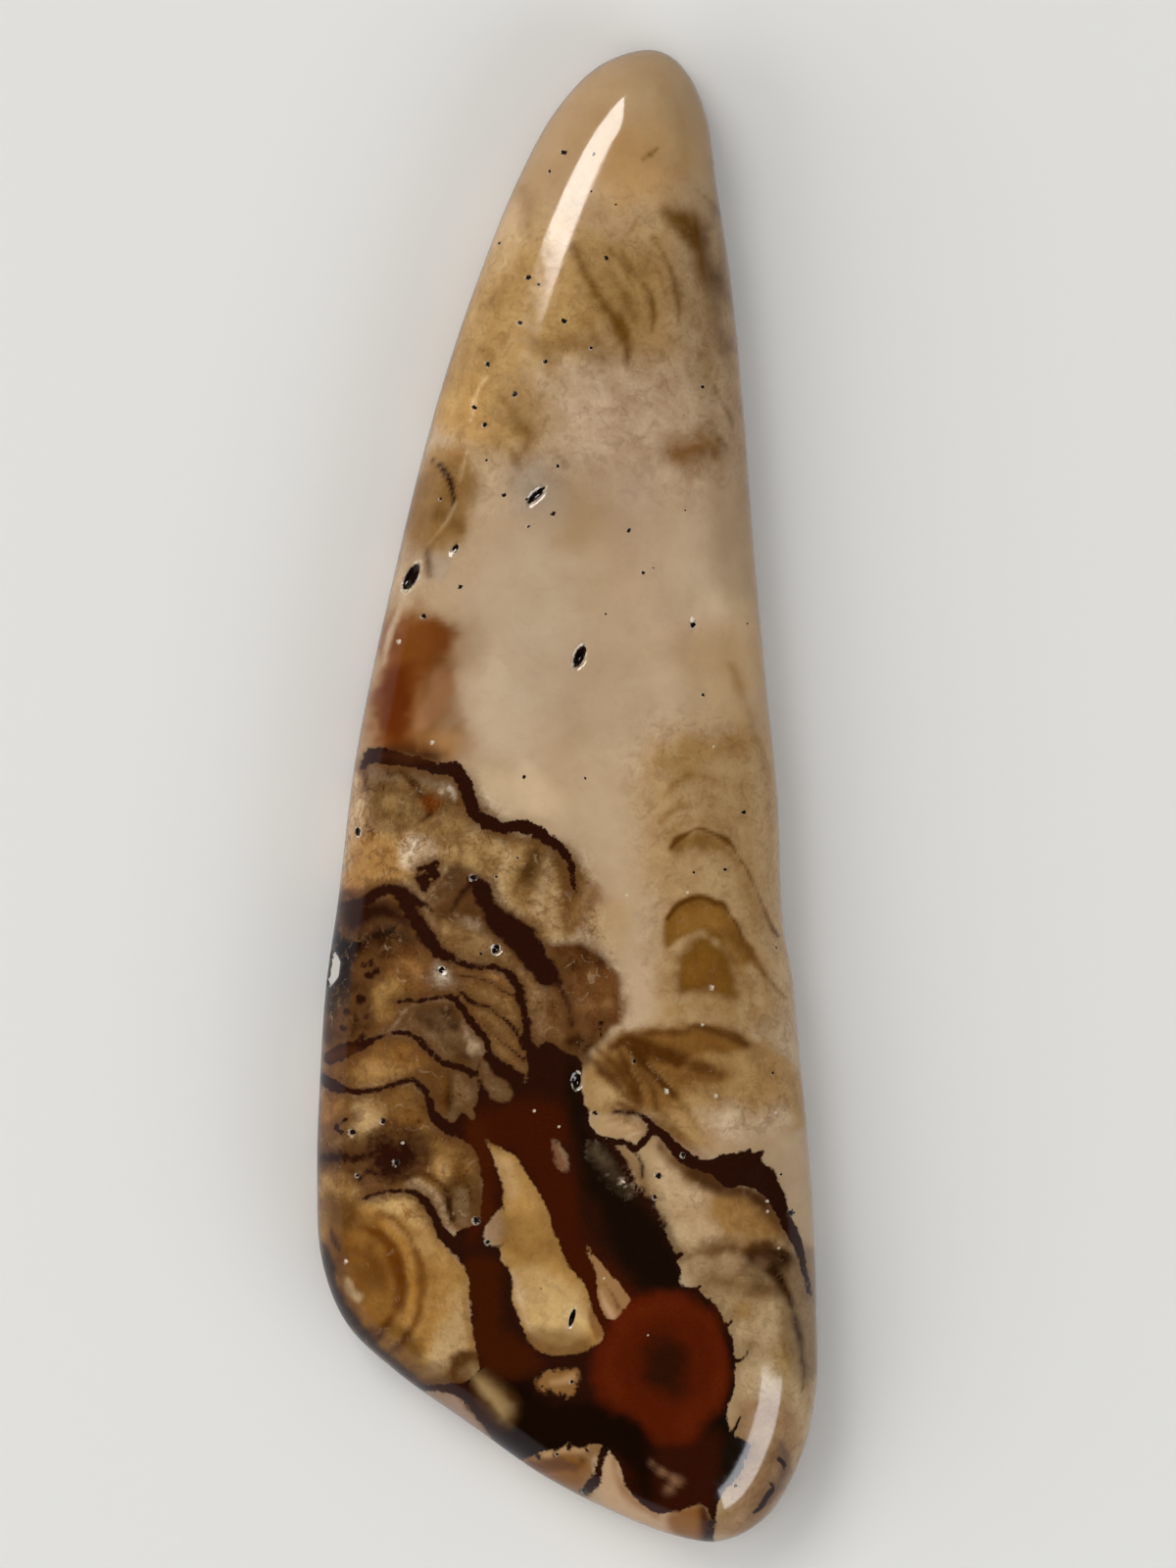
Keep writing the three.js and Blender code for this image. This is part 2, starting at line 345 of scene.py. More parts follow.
def form(points):
    """The shape that points give: a closed patch from points (x, y), a stroke from points (x, y, width), and
    a spot from one (x, y, radius) that stands alone."""
    if isinstance(points, tuple):
        return spot(*points)
    return stroke(points) if len(points[0]) == 3 else patch(points)


def paint(layer, rows):
    """Lay rows of a shape's points, its colour, softness and strength on a layer, one after the other."""
    for points, *manner in rows:
        lay(layer, form(points), *manner)


def mark(act, rows):
    """Ink, clear, stir or tint the shapes that rows of points give, each row with its own manner."""
    for points, *manner in rows:
        act(form(points), *manner)


# How mottled the ground is: nearly clear in the cream, stormy among the bands on the left
unrest = np.full(len(vertices), 0.07)


def stir(shape, amount, soft):
    """Blend the unrest to an amount inside a shape."""
    t = np.clip(0.5 + shape / (2 * soft), 0, 1)
    unrest[:] += t * t * (3 - 2 * t) * (amount - unrest)


mark(stir, [
    ([(-4, 22), (6, 24), (7, 13), (-1, 13), (-5.5, 10), (-7, 7), (-6, 15)], 0.45, 2.0),
    ([(-8.8, 1.4), (-4.4, 1.0), (-2.0, -1.4), (0.6, -2.4), (1.4, -5), (2.4, -9), (0.5, -11), (-2, -12),
     (-3.5, -17), (-10.3, -17.5), (-10, -8)], 1.0, 0.5),
    ([(2.2, -9.6), (8, -10), (9.4, -13), (3, -14), (1, -12)], 0.6, 0.5),
    ([(3, 3), (8.5, 2), (9.6, -12), (4, -9), (3, -3)], 0.45, 0.8),
    ([(-10.6, -17), (-5, -18), (-3.5, -23), (-7, -24.5)], 0.5, 0.6),
    ([(-3, -14), (-1.5, -15), (1.6, -22), (-1, -23), (-3, -18)], 0.35, 0.3),
    ([(3, -15), (7, -16), (10, -20), (9.5, -29), (6.5, -30), (7, -24), (4.5, -19)], 0.5, 0.6),
])

# The narrow end: cream and tan ground with brown brush marks and clouds
OLIVE_BROWN = (104, 68, 20)
paint(ground, [
    ([(3, 32), (-4, 24), (-4.5, 21), (0, 21.5), (3, 22.5), (7, 24), (7, 31)], (180, 148, 108), 2.0),
    ([(-4.5, 21.5), (-5.5, 16), (-3, 15), (-1, 17), (1, 18), (4, 17.5), (5, 20), (4.5, 23), (1, 23)],
     (160, 124, 74), 1.5),
    ([(5, 24), (7, 24), (8, 15), (8, 5), (6.8, 5), (6, 15), (5, 19)], (172, 140, 102), 1.2),
    ([(1, 16), (4, 17), (6, 15), (6, 9), (4, 6.5), (2, 9), (1, 13)], (192, 162, 130), 1.6),
    ([(-3.5, 10), (0, 10.5), (0, 7), (-1.5, 2), (-3.5, 2)], (188, 162, 132), 1.4),
    ([(0, 12.5), (2, 12), (2, 10.5), (0, 10)], (176, 144, 106), 1.2),
    ([(-4.6, 17), (-2, 17), (-1.2, 15.5), (-1.4, 14), (-2.3, 13.7), (-4, 14), (-5.4, 15)],
     (158, 122, 72), 1.0),
    ([(1.5, 27), (4, 27), (4.5, 25), (2, 24)], (182, 142, 92), 1.2),
    ((2.6, 12.0, 1.0), (190, 162, 134), 1.2),
    ((5.3, 8.8, 1.8), (196, 168, 136), 1.8),
    ((-1.2, 12.3, 1.1), (170, 151, 130), 0.8, 0.8),
])
BRUSHED = [
    ([(0.2, 22.3, 0.3), (0.7, 21.3, 0.5), (1.2, 20.4, 0.5), (1.8, 19.5, 0.5), (2.3, 18.7, 0.4),
     (2.5, 17.6, 0.2)], 0.25, 0.95),
    ([(0.5, 20.6, 0.4), (1.1, 19.9, 0.5), (1.7, 19.2, 0.5), (2.2, 18.4, 0.4)], 0.45, 0.55),
    ([(1.4, 20.0, 0.15), (1.9, 19.35, 0.3), (2.35, 18.7, 0.15)], 0.15, 0.9),
    ([(1.7, 22.2, 0.15), (2.3, 21.4, 0.25), (2.7, 20.6, 0.2), (2.9, 19.9, 0.1)], 0.15, 0.65),
    ([(2.2, 22.0, 0.2), (2.8, 21.1, 0.35), (3.3, 20.4, 0.45), (3.5, 19.6, 0.3), (3.4, 18.8, 0.15)],
     0.2, 0.9),
    ([(1.9, 21.0, 0.3), (2.4, 20.2, 0.6), (2.8, 19.3, 0.4)], 0.4, 0.7),
    ([(3.4, 22.6, 0.15), (3.95, 21.9, 0.2), (4.3, 21.0, 0.25), (4.5, 20.1, 0.3), (4.55, 19.2, 0.2)],
     0.16, 0.7),
    ([(2.9, 22.6, 0.1), (3.4, 21.9, 0.15), (3.8, 21.0, 0.15), (4.0, 20.2, 0.1)], 0.12, 0.4),
    ([(4.1, 23.7, 0.3), (4.8, 23.2, 0.9), (5.3, 22.5, 1.1), (5.7, 21.6, 0.9), (5.85, 21.1, 0.5)],
     0.5, 0.95),
    ([(5.2, 22.8, 0.3), (5.6, 21.9, 0.7), (5.9, 20.7, 0.7), (6.1, 19.4, 0.6), (6.3, 18.0, 0.3)], 0.4, 0.6),
    ([(0.0, 18.4, 0.3), (0.7, 18.1, 0.7), (1.4, 17.6, 0.4)], 0.5, 0.45),
    ([(0.1, 20.3, 0.2), (0.6, 19.4, 0.3), (1.3, 18.4, 0.2)], 0.3, 0.5),
    ([(5.3, 24.6, 0.15), (5.9, 24.1, 0.2), (6.3, 23.6, 0.15)], 0.15, 0.6),
    ([(2.5, 22.8, 0.08), (2.75, 23.2, 0.15), (3.0, 23.6, 0.1)], 0.12, 0.35),
    ([(3.1, 25.8, 0.08), (3.4, 26.0, 0.2), (3.65, 26.25, 0.12)], 0.14, 0.85),
    ([(-1.9, 24.6, 0.3), (-1.5, 23.8, 0.6), (-1.6, 23.0, 0.3)], 0.5, 0.5),
    ([(-2.5, 21.0, 0.2), (-2.9, 20.3, 0.5), (-3.2, 19.9, 0.3)], 0.35, 0.55),
    ([(-4.1, 18.4, 0.2), (-3.6, 18.2, 0.35), (-3.1, 17.7, 0.3)], 0.25, 0.7),
    ([(-2.6, 16.5, 0.2), (-2.3, 15.7, 0.4), (-1.8, 15.0, 0.6), (-1.6, 14.4, 0.4), (-1.8, 13.9, 0.3)],
     0.35, 0.65),
    ([(-2.3, 14.0, 0.15), (-2.0, 13.5, 0.3), (-1.8, 13.2, 0.15)], 0.2, 0.55),
    ([(-0.8, 14.0, 0.08), (-0.35, 13.75, 0.2), (0.05, 13.3, 0.2)], 0.16, 0.55),
    ([(-1.5, 18.6, 0.2), (-0.9, 18.0, 0.4), (-0.4, 17.6, 0.2)], 0.4, 0.45),
    ([(6.0, 16.5, 0.08), (6.5, 15.7, 0.15), (6.75, 15.0, 0.1)], 0.14, 0.6),
    ([(5.9, 14.9, 0.3), (6.2, 14.5, 0.35), (6.5, 14.1, 0.2)], 0.2, 0.7),
]
for points, soft, strength in BRUSHED:
    lay(ground, stroke(points), OLIVE_BROWN, soft, strength)
paint(ground, [
    ([(4.1, 14.2), (5.0, 14.9), (6.0, 14.8), (6.3, 14.2), (5.6, 13.4), (4.7, 13.1), (4.0, 13.5)],
     (126, 84, 30), 0.6, 0.95),
    ([(4.9, 13.9), (5.6, 14.3), (6.0, 14.0), (5.4, 13.5), (4.8, 13.4)], (104, 64, 18), 0.5, 0.7),
])

# The left edge above the bands: a curved crack, a pale vein, a broken pocket and the rust cloud
paint(ground, [
    ([(-5.6, 14.2), (-4.6, 14.4), (-4.0, 13.8), (-3.9, 12), (-4.1, 10.6), (-4.8, 9.9), (-6.6, 10.4)],
     (158, 118, 66), 0.4, 0.9),
    ([(-5.5, 13.6, 0.1), (-5.1, 13.3, 0.22), (-4.8, 12.8, 0.2), (-4.66, 12.2, 0.2), (-4.6, 11.8, 0.24),
     (-4.8, 11.3, 0.15), (-5.0, 11.1, 0.08)], (44, 22, 8), 0.07),
    ([(-5.2, 11.4, 0.5), (-4.7, 11.1, 0.4), (-4.4, 10.9, 0.3)], (118, 80, 36), 0.3, 0.7),
    ([(-3.3, 16.9, 0.1), (-3.7, 16.2, 0.12), (-3.9, 15.2, 0.1)], (196, 164, 118), 0.08, 0.7),
    ([(-4.05, 14.0, 0.08), (-4.2, 13.3, 0.1), (-4.3, 12.9, 0.1)], (200, 168, 124), 0.07, 0.8),
    ([(-4.5, 11.9, 0.1), (-4.8, 11.3, 0.15), (-5.2, 10.7, 0.15), (-5.6, 10.2, 0.12)],
     (200, 168, 124), 0.08, 0.8),
    ([(-5.6, 9.9), (-5.2, 9.8), (-4.8, 9.6), (-4.7, 9.2), (-4.9, 8.9), (-5.2, 8.6), (-5.6, 8.9)],
     (176, 152, 126), 0.12),
    ([(-5.7, 9.9, 0.3), (-5.65, 9.4, 0.3), (-5.6, 8.9, 0.3)], (74, 42, 18), 0.2, 0.8),
    ([(-7.4, 7.6), (-6.2, 7.6), (-5.2, 7.0), (-4.6, 6.2), (-4.5, 5.4), (-4.8, 4.4), (-4.6, 3.2),
     (-4.2, 2.2), (-4.5, 1.3), (-7.9, 1.2), (-8.3, 3.0), (-7.8, 5.4)], (140, 94, 50), 0.9),
    ([(-7.2, 6.6), (-6.2, 7.1), (-5.2, 7.1), (-4.7, 6.7), (-4.8, 6.1), (-5.4, 5.3), (-6.1, 4.2),
     (-6.3, 3.0), (-6.0, 2.0), (-5.2, 1.4), (-7.6, 1.6), (-7.9, 3.2), (-7.5, 5.2)], (118, 64, 20), 0.45),
    ([(-7.3, 5.0), (-6.5, 5.3), (-6.25, 4.3), (-6.35, 2.9), (-6.7, 2.0), (-7.5, 2.4), (-7.6, 3.6)],
     (98, 42, 6), 0.4),
    ([(-6.1, 3.3), (-5.7, 4.0), (-5.3, 4.9), (-4.9, 5.1), (-4.6, 4.6), (-4.8, 3.8), (-5.2, 3.0),
     (-5.8, 2.5), (-6.2, 2.7)], (162, 114, 76), 0.28),
    ([(-5.6, 2.6), (-4.7, 2.7), (-4.3, 2.0), (-4.6, 1.4), (-5.4, 1.5)], (166, 122, 74), 0.35, 0.8),
    ([(-7.45, 5.4, 0.2), (-7.25, 6.3, 0.15), (-6.9, 7.3, 0.2), (-6.6, 8.2, 0.25)], (188, 158, 128), 0.12),
    ([(-7.4, 1.75, 0.3), (-6.4, 1.6, 0.4), (-5.4, 1.55, 0.5)], (62, 28, 8), 0.3, 0.9),
])

# The hills under the upper ridge: honey and olive ground, brown arcs and a broken dark blotch
LIGHT_STREAK = (196, 164, 118)
BROWN_STREAK = (106, 74, 34)
paint(ground, [
    ([(-8.6, 1.2), (-4.4, 0.8), (-3.6, -1.3), (-1.5, -1.6), (0.2, -2.4), (0.2, -5.8), (-1.2, -5.9),
     (-2.4, -4.8), (-3.2, -3.7), (-6.6, -3.7), (-9.0, -4.4)], (160, 124, 76), 0.25),
    ([(-9.5, 1.0), (-8.3, 0.8), (-8.25, -1.6), (-8.6, -4.2), (-9.6, -4.4)], (180, 148, 108), 0.2),
    ([(-8.6, -1.8), (-7.2, -1.9), (-6.6, -3.2), (-7.4, -3.7), (-8.9, -4.2)], (160, 116, 62), 0.45),
    ([(-8.2, 1.3), (-5.4, 1.0), (-4.5, 0.8), (-4.2, -0.2), (-4.9, -0.6), (-6.0, -0.2), (-6.2, -1.3),
     (-7.9, -1.4), (-8.2, 0.0)], (112, 82, 46), 0.3, 0.95),
    ([(-7.6, 0.2), (-6.6, 0.0), (-6.5, -0.9), (-7.3, -1.2), (-7.8, -0.6)], (136, 104, 60), 0.35, 0.8),
    ([(-8.1, 1.25), (-7.4, 1.1), (-7.0, 0.7), (-7.6, 0.4), (-8.0, 0.6)], (124, 98, 72), 0.2, 0.9),
    ([(-7.7, 0.9, 0.15), (-7.45, 0.3, 0.25), (-7.6, -0.3, 0.2), (-7.3, -0.9, 0.15)],
     (84, 56, 26), 0.15, 0.7),
    ([(-6.9, 0.2, 0.1), (-6.7, -0.4, 0.2), (-6.9, -1.0, 0.1)], (90, 62, 30), 0.15, 0.6),
    ([(-6.2, 0.95), (-5.5, 0.85), (-4.9, 0.65), (-4.5, 0.3), (-4.5, -0.05), (-5.0, 0.15), (-5.6, 0.45)],
     (132, 110, 84), 0.2, 0.9),
    ([(-4.75, 0.35, 0.1), (-4.55, 0.1, 0.16), (-4.5, -0.15, 0.1)], (196, 174, 148), 0.08, 0.9),
    ((-5.1, 0.2, 0.1), (186, 158, 122), 0.08, 0.8),
    ([(-8.25, 0.95, 0.08), (-8.15, 0.4, 0.12), (-8.25, -0.2, 0.08), (-8.22, -0.8, 0.12), (-8.1, -1.3, 0.08),
     (-7.8, -1.55, 0.05)], (66, 36, 12), 0.07),
    ([(-7.25, 1.1, 0.2), (-7.2, 0.85, 0.14), (-6.8, 0.95, 0.1), (-6.4, 0.6, 0.2), (-6.1, 0.42, 0.16),
     (-5.9, 0.05, 0.16), (-5.6, -0.25, 0.3), (-5.55, -0.7, 0.2), (-5.8, -1.0, 0.12), (-6.2, -1.3, 0.08)],
     (64, 36, 12), 0.09),
    ((-5.5, -0.35, 0.3), (112, 56, 12), 0.3, 0.9),
    ([(-5.9, -1.3, 0.2), (-5.0, -1.5, 0.6), (-4.4, -1.2, 0.4)], (172, 134, 82), 0.35, 0.8),
    ([(-6.5, -1.7), (-5.8, -1.7), (-5.1, -2.2), (-5.3, -2.75), (-6.1, -3.0), (-6.6, -2.7)],
     (198, 170, 134), 0.3),
    ([(-5.0, -2.3, 0.06), (-4.5, -1.95, 0.14), (-3.9, -2.0, 0.14), (-3.5, -2.4, 0.16), (-3.35, -2.9, 0.14),
     (-3.5, -3.3, 0.1)], (112, 74, 30), 0.1, 0.9),
    ([(-5.2, -3.2), (-4.5, -2.7), (-4.0, -2.9), (-3.7, -3.5), (-4.2, -4.4), (-5.1, -4.8), (-5.8, -4.4),
     (-5.7, -3.8)], (84, 58, 32), 0.3),
    ((-4.95, -3.05, 0.16), (168, 140, 104), 0.1, 0.9),
    ([(-5.3, -3.9, 0.1), (-4.9, -3.6, 0.2), (-4.5, -3.7, 0.1)], (132, 104, 72), 0.12, 0.8),
    ([(-5.8, -4.15, 0.05), (-5.5, -4.05, 0.12), (-5.1, -4.25, 0.08)], (172, 138, 96), 0.06, 0.9),
    ([(-2.9, -1.7, 0.3), (-2.4, -2.3, 0.5), (-2.6, -3.3, 0.5), (-2.9, -3.9, 0.3)], LIGHT_STREAK, 0.3, 0.8),
    ([(-2.6, -3.8, 0.3), (-2.3, -4.5, 0.3), (-1.7, -5.0, 0.3)], LIGHT_STREAK, 0.2, 0.8),
    ([(-3.2, -1.5, 0.3), (-2.2, -1.75, 0.4), (-1.2, -1.85, 0.5), (-0.5, -2.2, 0.4)],
     BROWN_STREAK, 0.25, 0.95),
    ([(-1.1, -1.9, 0.5), (-1.35, -2.6, 0.8), (-1.75, -3.3, 0.7), (-2.1, -3.9, 0.35)],
     BROWN_STREAK, 0.25, 1.0),
    ([(-0.6, -2.2, 0.25), (-0.25, -2.8, 0.4), (0.0, -3.5, 0.35), (0.1, -4.4, 0.3)],
     BROWN_STREAK, 0.16, 1.0),
    ([(-0.75, -2.3, 0.2), (-0.75, -2.9, 0.3), (-0.9, -3.5, 0.3), (-1.2, -4.4, 0.6), (-1.3, -5.3, 0.6)],
     LIGHT_STREAK, 0.2, 0.9),
    ([(-0.5, -4.0, 0.3), (-0.6, -4.9, 0.5), (-0.4, -5.7, 0.5)], LIGHT_STREAK, 0.3, 0.6),
    ([(-1.9, -4.3, 0.15), (-1.6, -4.8, 0.25), (-1.0, -5.6, 0.2)], (132, 98, 54), 0.15, 0.8),
    ((-5.8, -3.1, 0.3), (150, 120, 86), 0.1),
])
mark(ink, [
    ([(-6.1, -2.95), (-5.6, -2.75), (-5.2, -2.62), (-5.1, -2.9), (-5.15, -3.25), (-5.35, -3.5),
     (-5.6, -3.7), (-5.72, -3.98), (-5.95, -3.85), (-6.05, -3.6), (-6.2, -3.4), (-6.05, -3.2)], 0.06),
])
mark(clear, [
    ([(-5.95, -3.2, 0.1), (-5.8, -3.05, 0.12), (-5.7, -3.15, 0.08)], 0.03, 0.5),
    ((-5.55, -3.45, 0.07), 0.03, 0.5),
])
VEINS = [
    [(-5.3, -2.85, 0.1), (-5.1, -3.25, 0.12), (-5.35, -3.7, 0.1), (-5.7, -4.05, 0.14), (-6.0, -4.15, 0.16)],
    [(-5.8, -4.05, 0.12), (-5.5, -4.35, 0.08)],
    [(-4.95, -4.1, 0.1), (-5.2, -4.3, 0.06)],
    [(-6.35, -4.75, 0.04), (-6.25, -5.0, 0.08)],
    [(-4.95, -4.9, 0.1), (-4.85, -5.2, 0.12), (-5.0, -5.45, 0.06)],
]
for points in VEINS:
    clear(stroke(points), 0.04, 0.6)
    lay(ground, stroke(points), (204, 168, 122), 0.06, 0.9)

# The upper ridge, a ragged dark line from the left edge to the middle
paint(ground, [
    ([(0.1, -3.2), (0.6, -3.4), (1.1, -3.9), (1.6, -4.6), (1.5, -5.1), (0.8, -5.2), (0.2, -5.6),
     (0.0, -4.5)], (124, 84, 40), 0.35, 0.85),
])
mark(ink, [
    ([(-8.35, 1.15, 0.2), (-8.15, 1.45, 0.4), (-7.8, 1.65, 0.72), (-7.2, 1.5, 0.56), (-6.4, 1.36, 0.5),
     (-5.8, 1.24, 0.45), (-5.3, 1.0, 0.45), (-4.85, 1.05, 0.45), (-4.42, 0.92, 0.58), (-4.15, 0.45, 0.56),
     (-3.98, -0.1, 0.56), (-3.75, -0.72, 0.56), (-3.4, -1.07, 0.6), (-2.9, -1.27, 0.52),
     (-2.45, -1.37, 0.4), (-1.95, -1.28, 0.5), (-1.35, -1.43, 0.52), (-0.8, -1.75, 0.45),
     (-0.3, -2.07, 0.42), (0.05, -2.5, 0.32), (0.15, -3.0, 0.24), (0.28, -3.6, 0.18), (0.36, -4.0, 0.08)],
     0.035, 1.3),
])
paint(dark, [
    ([(-7.5, 1.6, 0.2), (-6.4, 1.5, 0.2), (-5.5, 1.4, 0.2)], (64, 30, 10), 0.25),
])

# The second ridge and the brown hollow under it
paint(ground, [
    ([(-9.9, -4.3), (-7.4, -3.7), (-6.0, -4.2), (-5.4, -5.8), (-4.4, -6.8), (-4.4, -8.2), (-6.6, -8.4),
     (-7.0, -9.4), (-9.9, -10.2)], (112, 72, 34), 0.2),
    ([(-9.6, -4.5), (-7.4, -4.2), (-6.3, -4.9), (-5.8, -5.9), (-6.4, -6.1), (-7.6, -5.8), (-8.8, -6.4),
     (-9.4, -6.2)], (62, 38, 22), 0.3),
    ([(-8.2, -4.9), (-7.4, -4.7), (-7.0, -5.2), (-7.5, -5.6), (-8.2, -5.4)], (92, 66, 44), 0.25, 0.8),
    ([(-7.3, -4.9, 0.1), (-7.0, -5.05, 0.2), (-6.6, -5.4, 0.15)], (112, 84, 58), 0.12, 0.7),
    ([(-8.3, -7.7), (-7.3, -7.4), (-6.4, -7.4), (-6.0, -7.9), (-6.6, -8.6), (-7.3, -9.3), (-7.9, -9.3),
     (-8.1, -8.6)], (158, 118, 64), 0.35),
    ([(-7.3, -6.6), (-6.2, -6.4), (-5.6, -7.0), (-5.6, -7.9), (-6.5, -7.6), (-7.3, -7.3)],
     (142, 98, 52), 0.4, 0.7),
    ([(-6.3, -6.2, 0.1), (-5.9, -6.8, 0.2), (-5.6, -7.5, 0.3), (-5.4, -8.0, 0.2)], (96, 62, 28), 0.2, 0.8),
    ([(-9.8, -4.3), (-9.0, -4.4), (-8.7, -5.6), (-8.8, -7.0), (-8.7, -8.6), (-9.9, -8.9)],
     (38, 20, 10), 0.2),
    ([(-9.6, -8.3), (-8.4, -7.9), (-7.9, -9.2), (-8.6, -9.9), (-9.9, -10.3)], (86, 54, 24), 0.3),
    ([(-8.6, -6.7, 0.5), (-8.2, -7.5, 0.5), (-8.5, -8.4, 0.4)], (88, 54, 26), 0.3, 0.8),
])
FLECK_SPOTS = [
    (-8.4, -8.35, 0.22), (-8.95, -8.8, 0.16), (-9.1, -9.5, 0.16), (-8.15, -9.0, 0.14), (-8.3, -9.8, 0.16),
    (-7.9, -6.85, 0.14), (-8.25, -6.95, 0.13), (-7.75, -7.15, 0.18), (-8.05, -7.35, 0.16),
    (-7.85, -6.7, 0.07),
]
for at_x, at_y, size in FLECK_SPOTS:
    ink(spot(at_x, at_y, size), 0.08)
paint(ground, [
    ((-5.05, -7.3, 0.45, 1.3), (172, 152, 128), 0.4, 0.9),
    ([(-4.9, -6.9, 0.2), (-3.9, -7.2, 0.3), (-3.0, -7.4, 0.3), (-2.3, -7.9, 0.3)], (106, 70, 32), 0.2, 0.9),
])
mark(ink, [
    ([(-9.3, -4.55, 0.3), (-8.85, -4.55, 0.45), (-8.3, -4.45, 0.5), (-7.8, -4.05, 0.55),
     (-7.2, -3.85, 0.45), (-6.6, -4.0, 0.45), (-6.2, -4.3, 0.4), (-5.7, -4.45, 0.2), (-5.5, -4.65, 0.08)],
     0.09, 1.3),
    ([(-6.9, -3.95, 0.4), (-6.5, -4.45, 0.6), (-6.15, -5.0, 0.65), (-5.8, -5.55, 0.6), (-5.4, -6.15, 0.55),
     (-4.95, -6.5, 0.4), (-4.5, -6.7, 0.32), (-3.9, -6.92, 0.24), (-3.35, -7.02, 0.22), (-2.9, -7.02, 0.22),
     (-2.4, -7.3, 0.3), (-2.0, -7.7, 0.4), (-1.85, -8.2, 0.36), (-1.75, -8.8, 0.34), (-1.62, -9.5, 0.38),
     (-1.5, -10.2, 0.45), (-1.2, -10.7, 0.6)], 0.07, 1.3),
    ([(-9.3, -4.6), (-8.0, -4.4), (-7.2, -4.4), (-6.5, -5.0), (-6.2, -5.4), (-7.5, -5.0), (-8.8, -5.6)],
     0.3),
    ([(-5.4, -6.5, 0.2), (-5.1, -6.6, 0.25), (-4.8, -6.7, 0.2)], 0.05),
    ([(-3.0, -7.02, 0.1), (-2.9, -6.85, 0.06)], 0.03),
])

# The third ridge: black-brown along its upper right edge, fading down to brown
paint(ground, [
    ([(-5.6, -4.5), (-4.6, -4.2), (-4.4, -5.2), (-3.4, -5.6), (-2.4, -6.3), (-1.6, -7.2), (-1.1, -8.6),
     (-1.5, -8.8), (-2.2, -7.4), (-3.0, -6.9), (-4.4, -6.5), (-5.3, -5.6)], (158, 120, 74), 0.18),
    ([(-5.5, -4.3), (-3.6, -3.6), (-2.5, -4.8), (-1.2, -6.0), (-0.9, -7.4), (-2.2, -6.4), (-3.3, -5.5),
     (-4.4, -5.0), (-5.3, -5.4)], (90, 58, 28), 0.3),
    ([(-5.0, -5.1), (-4.3, -5.3), (-3.6, -5.8), (-3.4, -6.5), (-4.3, -6.4), (-5.0, -5.9)],
     (170, 132, 84), 0.25, 0.9),
    ([(-3.4, -6.0, 0.2), (-2.7, -6.4, 0.3), (-2.1, -7.0, 0.2)], (176, 140, 96), 0.2, 0.8),
    ([(-1.5, -7.2, 0.2), (-1.2, -8.0, 0.25), (-1.2, -9.0, 0.2)], (150, 112, 66), 0.14, 0.9),
])
mark(ink, [
    ([(-4.1, -3.35), (-3.6, -3.35), (-3.2, -3.6), (-3.02, -3.95), (-2.95, -4.25), (-2.7, -4.5),
     (-2.45, -4.8), (-2.2, -4.8), (-2.1, -5.0), (-1.75, -5.15), (-1.45, -5.4), (-1.25, -5.65), (-1.1, -5.9),
     (-0.93, -6.15), (-0.8, -6.55), (-0.4, -6.9), (-0.45, -7.7), (-0.95, -7.8), (-1.5, -7.2), (-1.95, -6.6),
     (-2.5, -6.0), (-3.1, -5.5), (-3.45, -4.8), (-3.75, -4.1)], 0.1, 1.3),
    ([(-4.6, -4.6, 0.15), (-4.25, -4.0, 0.25), (-3.8, -3.6, 0.35)], 0.2),
])

# The brown bush in the middle
paint(ground, [
    ([(-0.9, -6.1), (0.0, -6.0), (0.6, -6.05), (1.1, -6.25), (1.6, -6.65), (2.0, -7.25), (2.3, -8.1),
     (2.35, -8.7), (2.15, -9.2), (1.7, -9.4), (1.45, -9.8), (1.1, -10.3), (0.5, -10.6), (-0.4, -10.8),
     (-1.0, -9.0), (-0.7, -7.2)], (104, 64, 30), 0.16),
    ([(-0.7, -8.0), (-0.1, -8.2), (0.0, -9.6), (-0.4, -10.2), (-1.2, -9.8), (-1.2, -8.7)],
     (152, 112, 68), 0.2),
    ([(-1.5, -8.2), (-0.9, -7.9), (-0.9, -9.0), (-1.1, -10.3), (-1.4, -10.2)], (170, 134, 92), 0.12),
])
for at_x, at_y, size in (
    (0.9, -8.5, 0.2), (0.4, -7.6, 0.15), (0.4, -8.4, 0.2), (1.0, -7.3, 0.2), (0.8, -9.9, 0.15),
    (0.0, -6.7, 0.15), (-0.65, -6.5, 0.16), (1.6, -8.4, 0.2),
):
    lay(ground, spot(at_x, at_y, size, 1.6), (140, 98, 56), 0.2, 0.7)
for at_x, at_y, size in (
    (0.2, -6.9, 0.15), (0.3, -9.2, 0.2), (0.9, -8.9, 0.15), (0.1, -7.9, 0.2), (1.3, -6.7, 0.15),
    (-0.2, -7.2, 0.2), (0.7, -6.5, 0.15),
):
    lay(ground, spot(at_x, at_y, size, 1.8), (66, 36, 12), 0.2, 0.7)
mark(ink, [
    ([(-0.5, -7.2, 0.3), (-0.2, -7.9, 0.15), (0.1, -8.6, 0.12), (0.2, -9.3, 0.15)], 0.12),
    ([(1.5, -9.25, 0.04), (1.28, -9.3, 0.07), (1.33, -9.55, 0.07), (1.42, -9.85, 0.06)], 0.03),
])

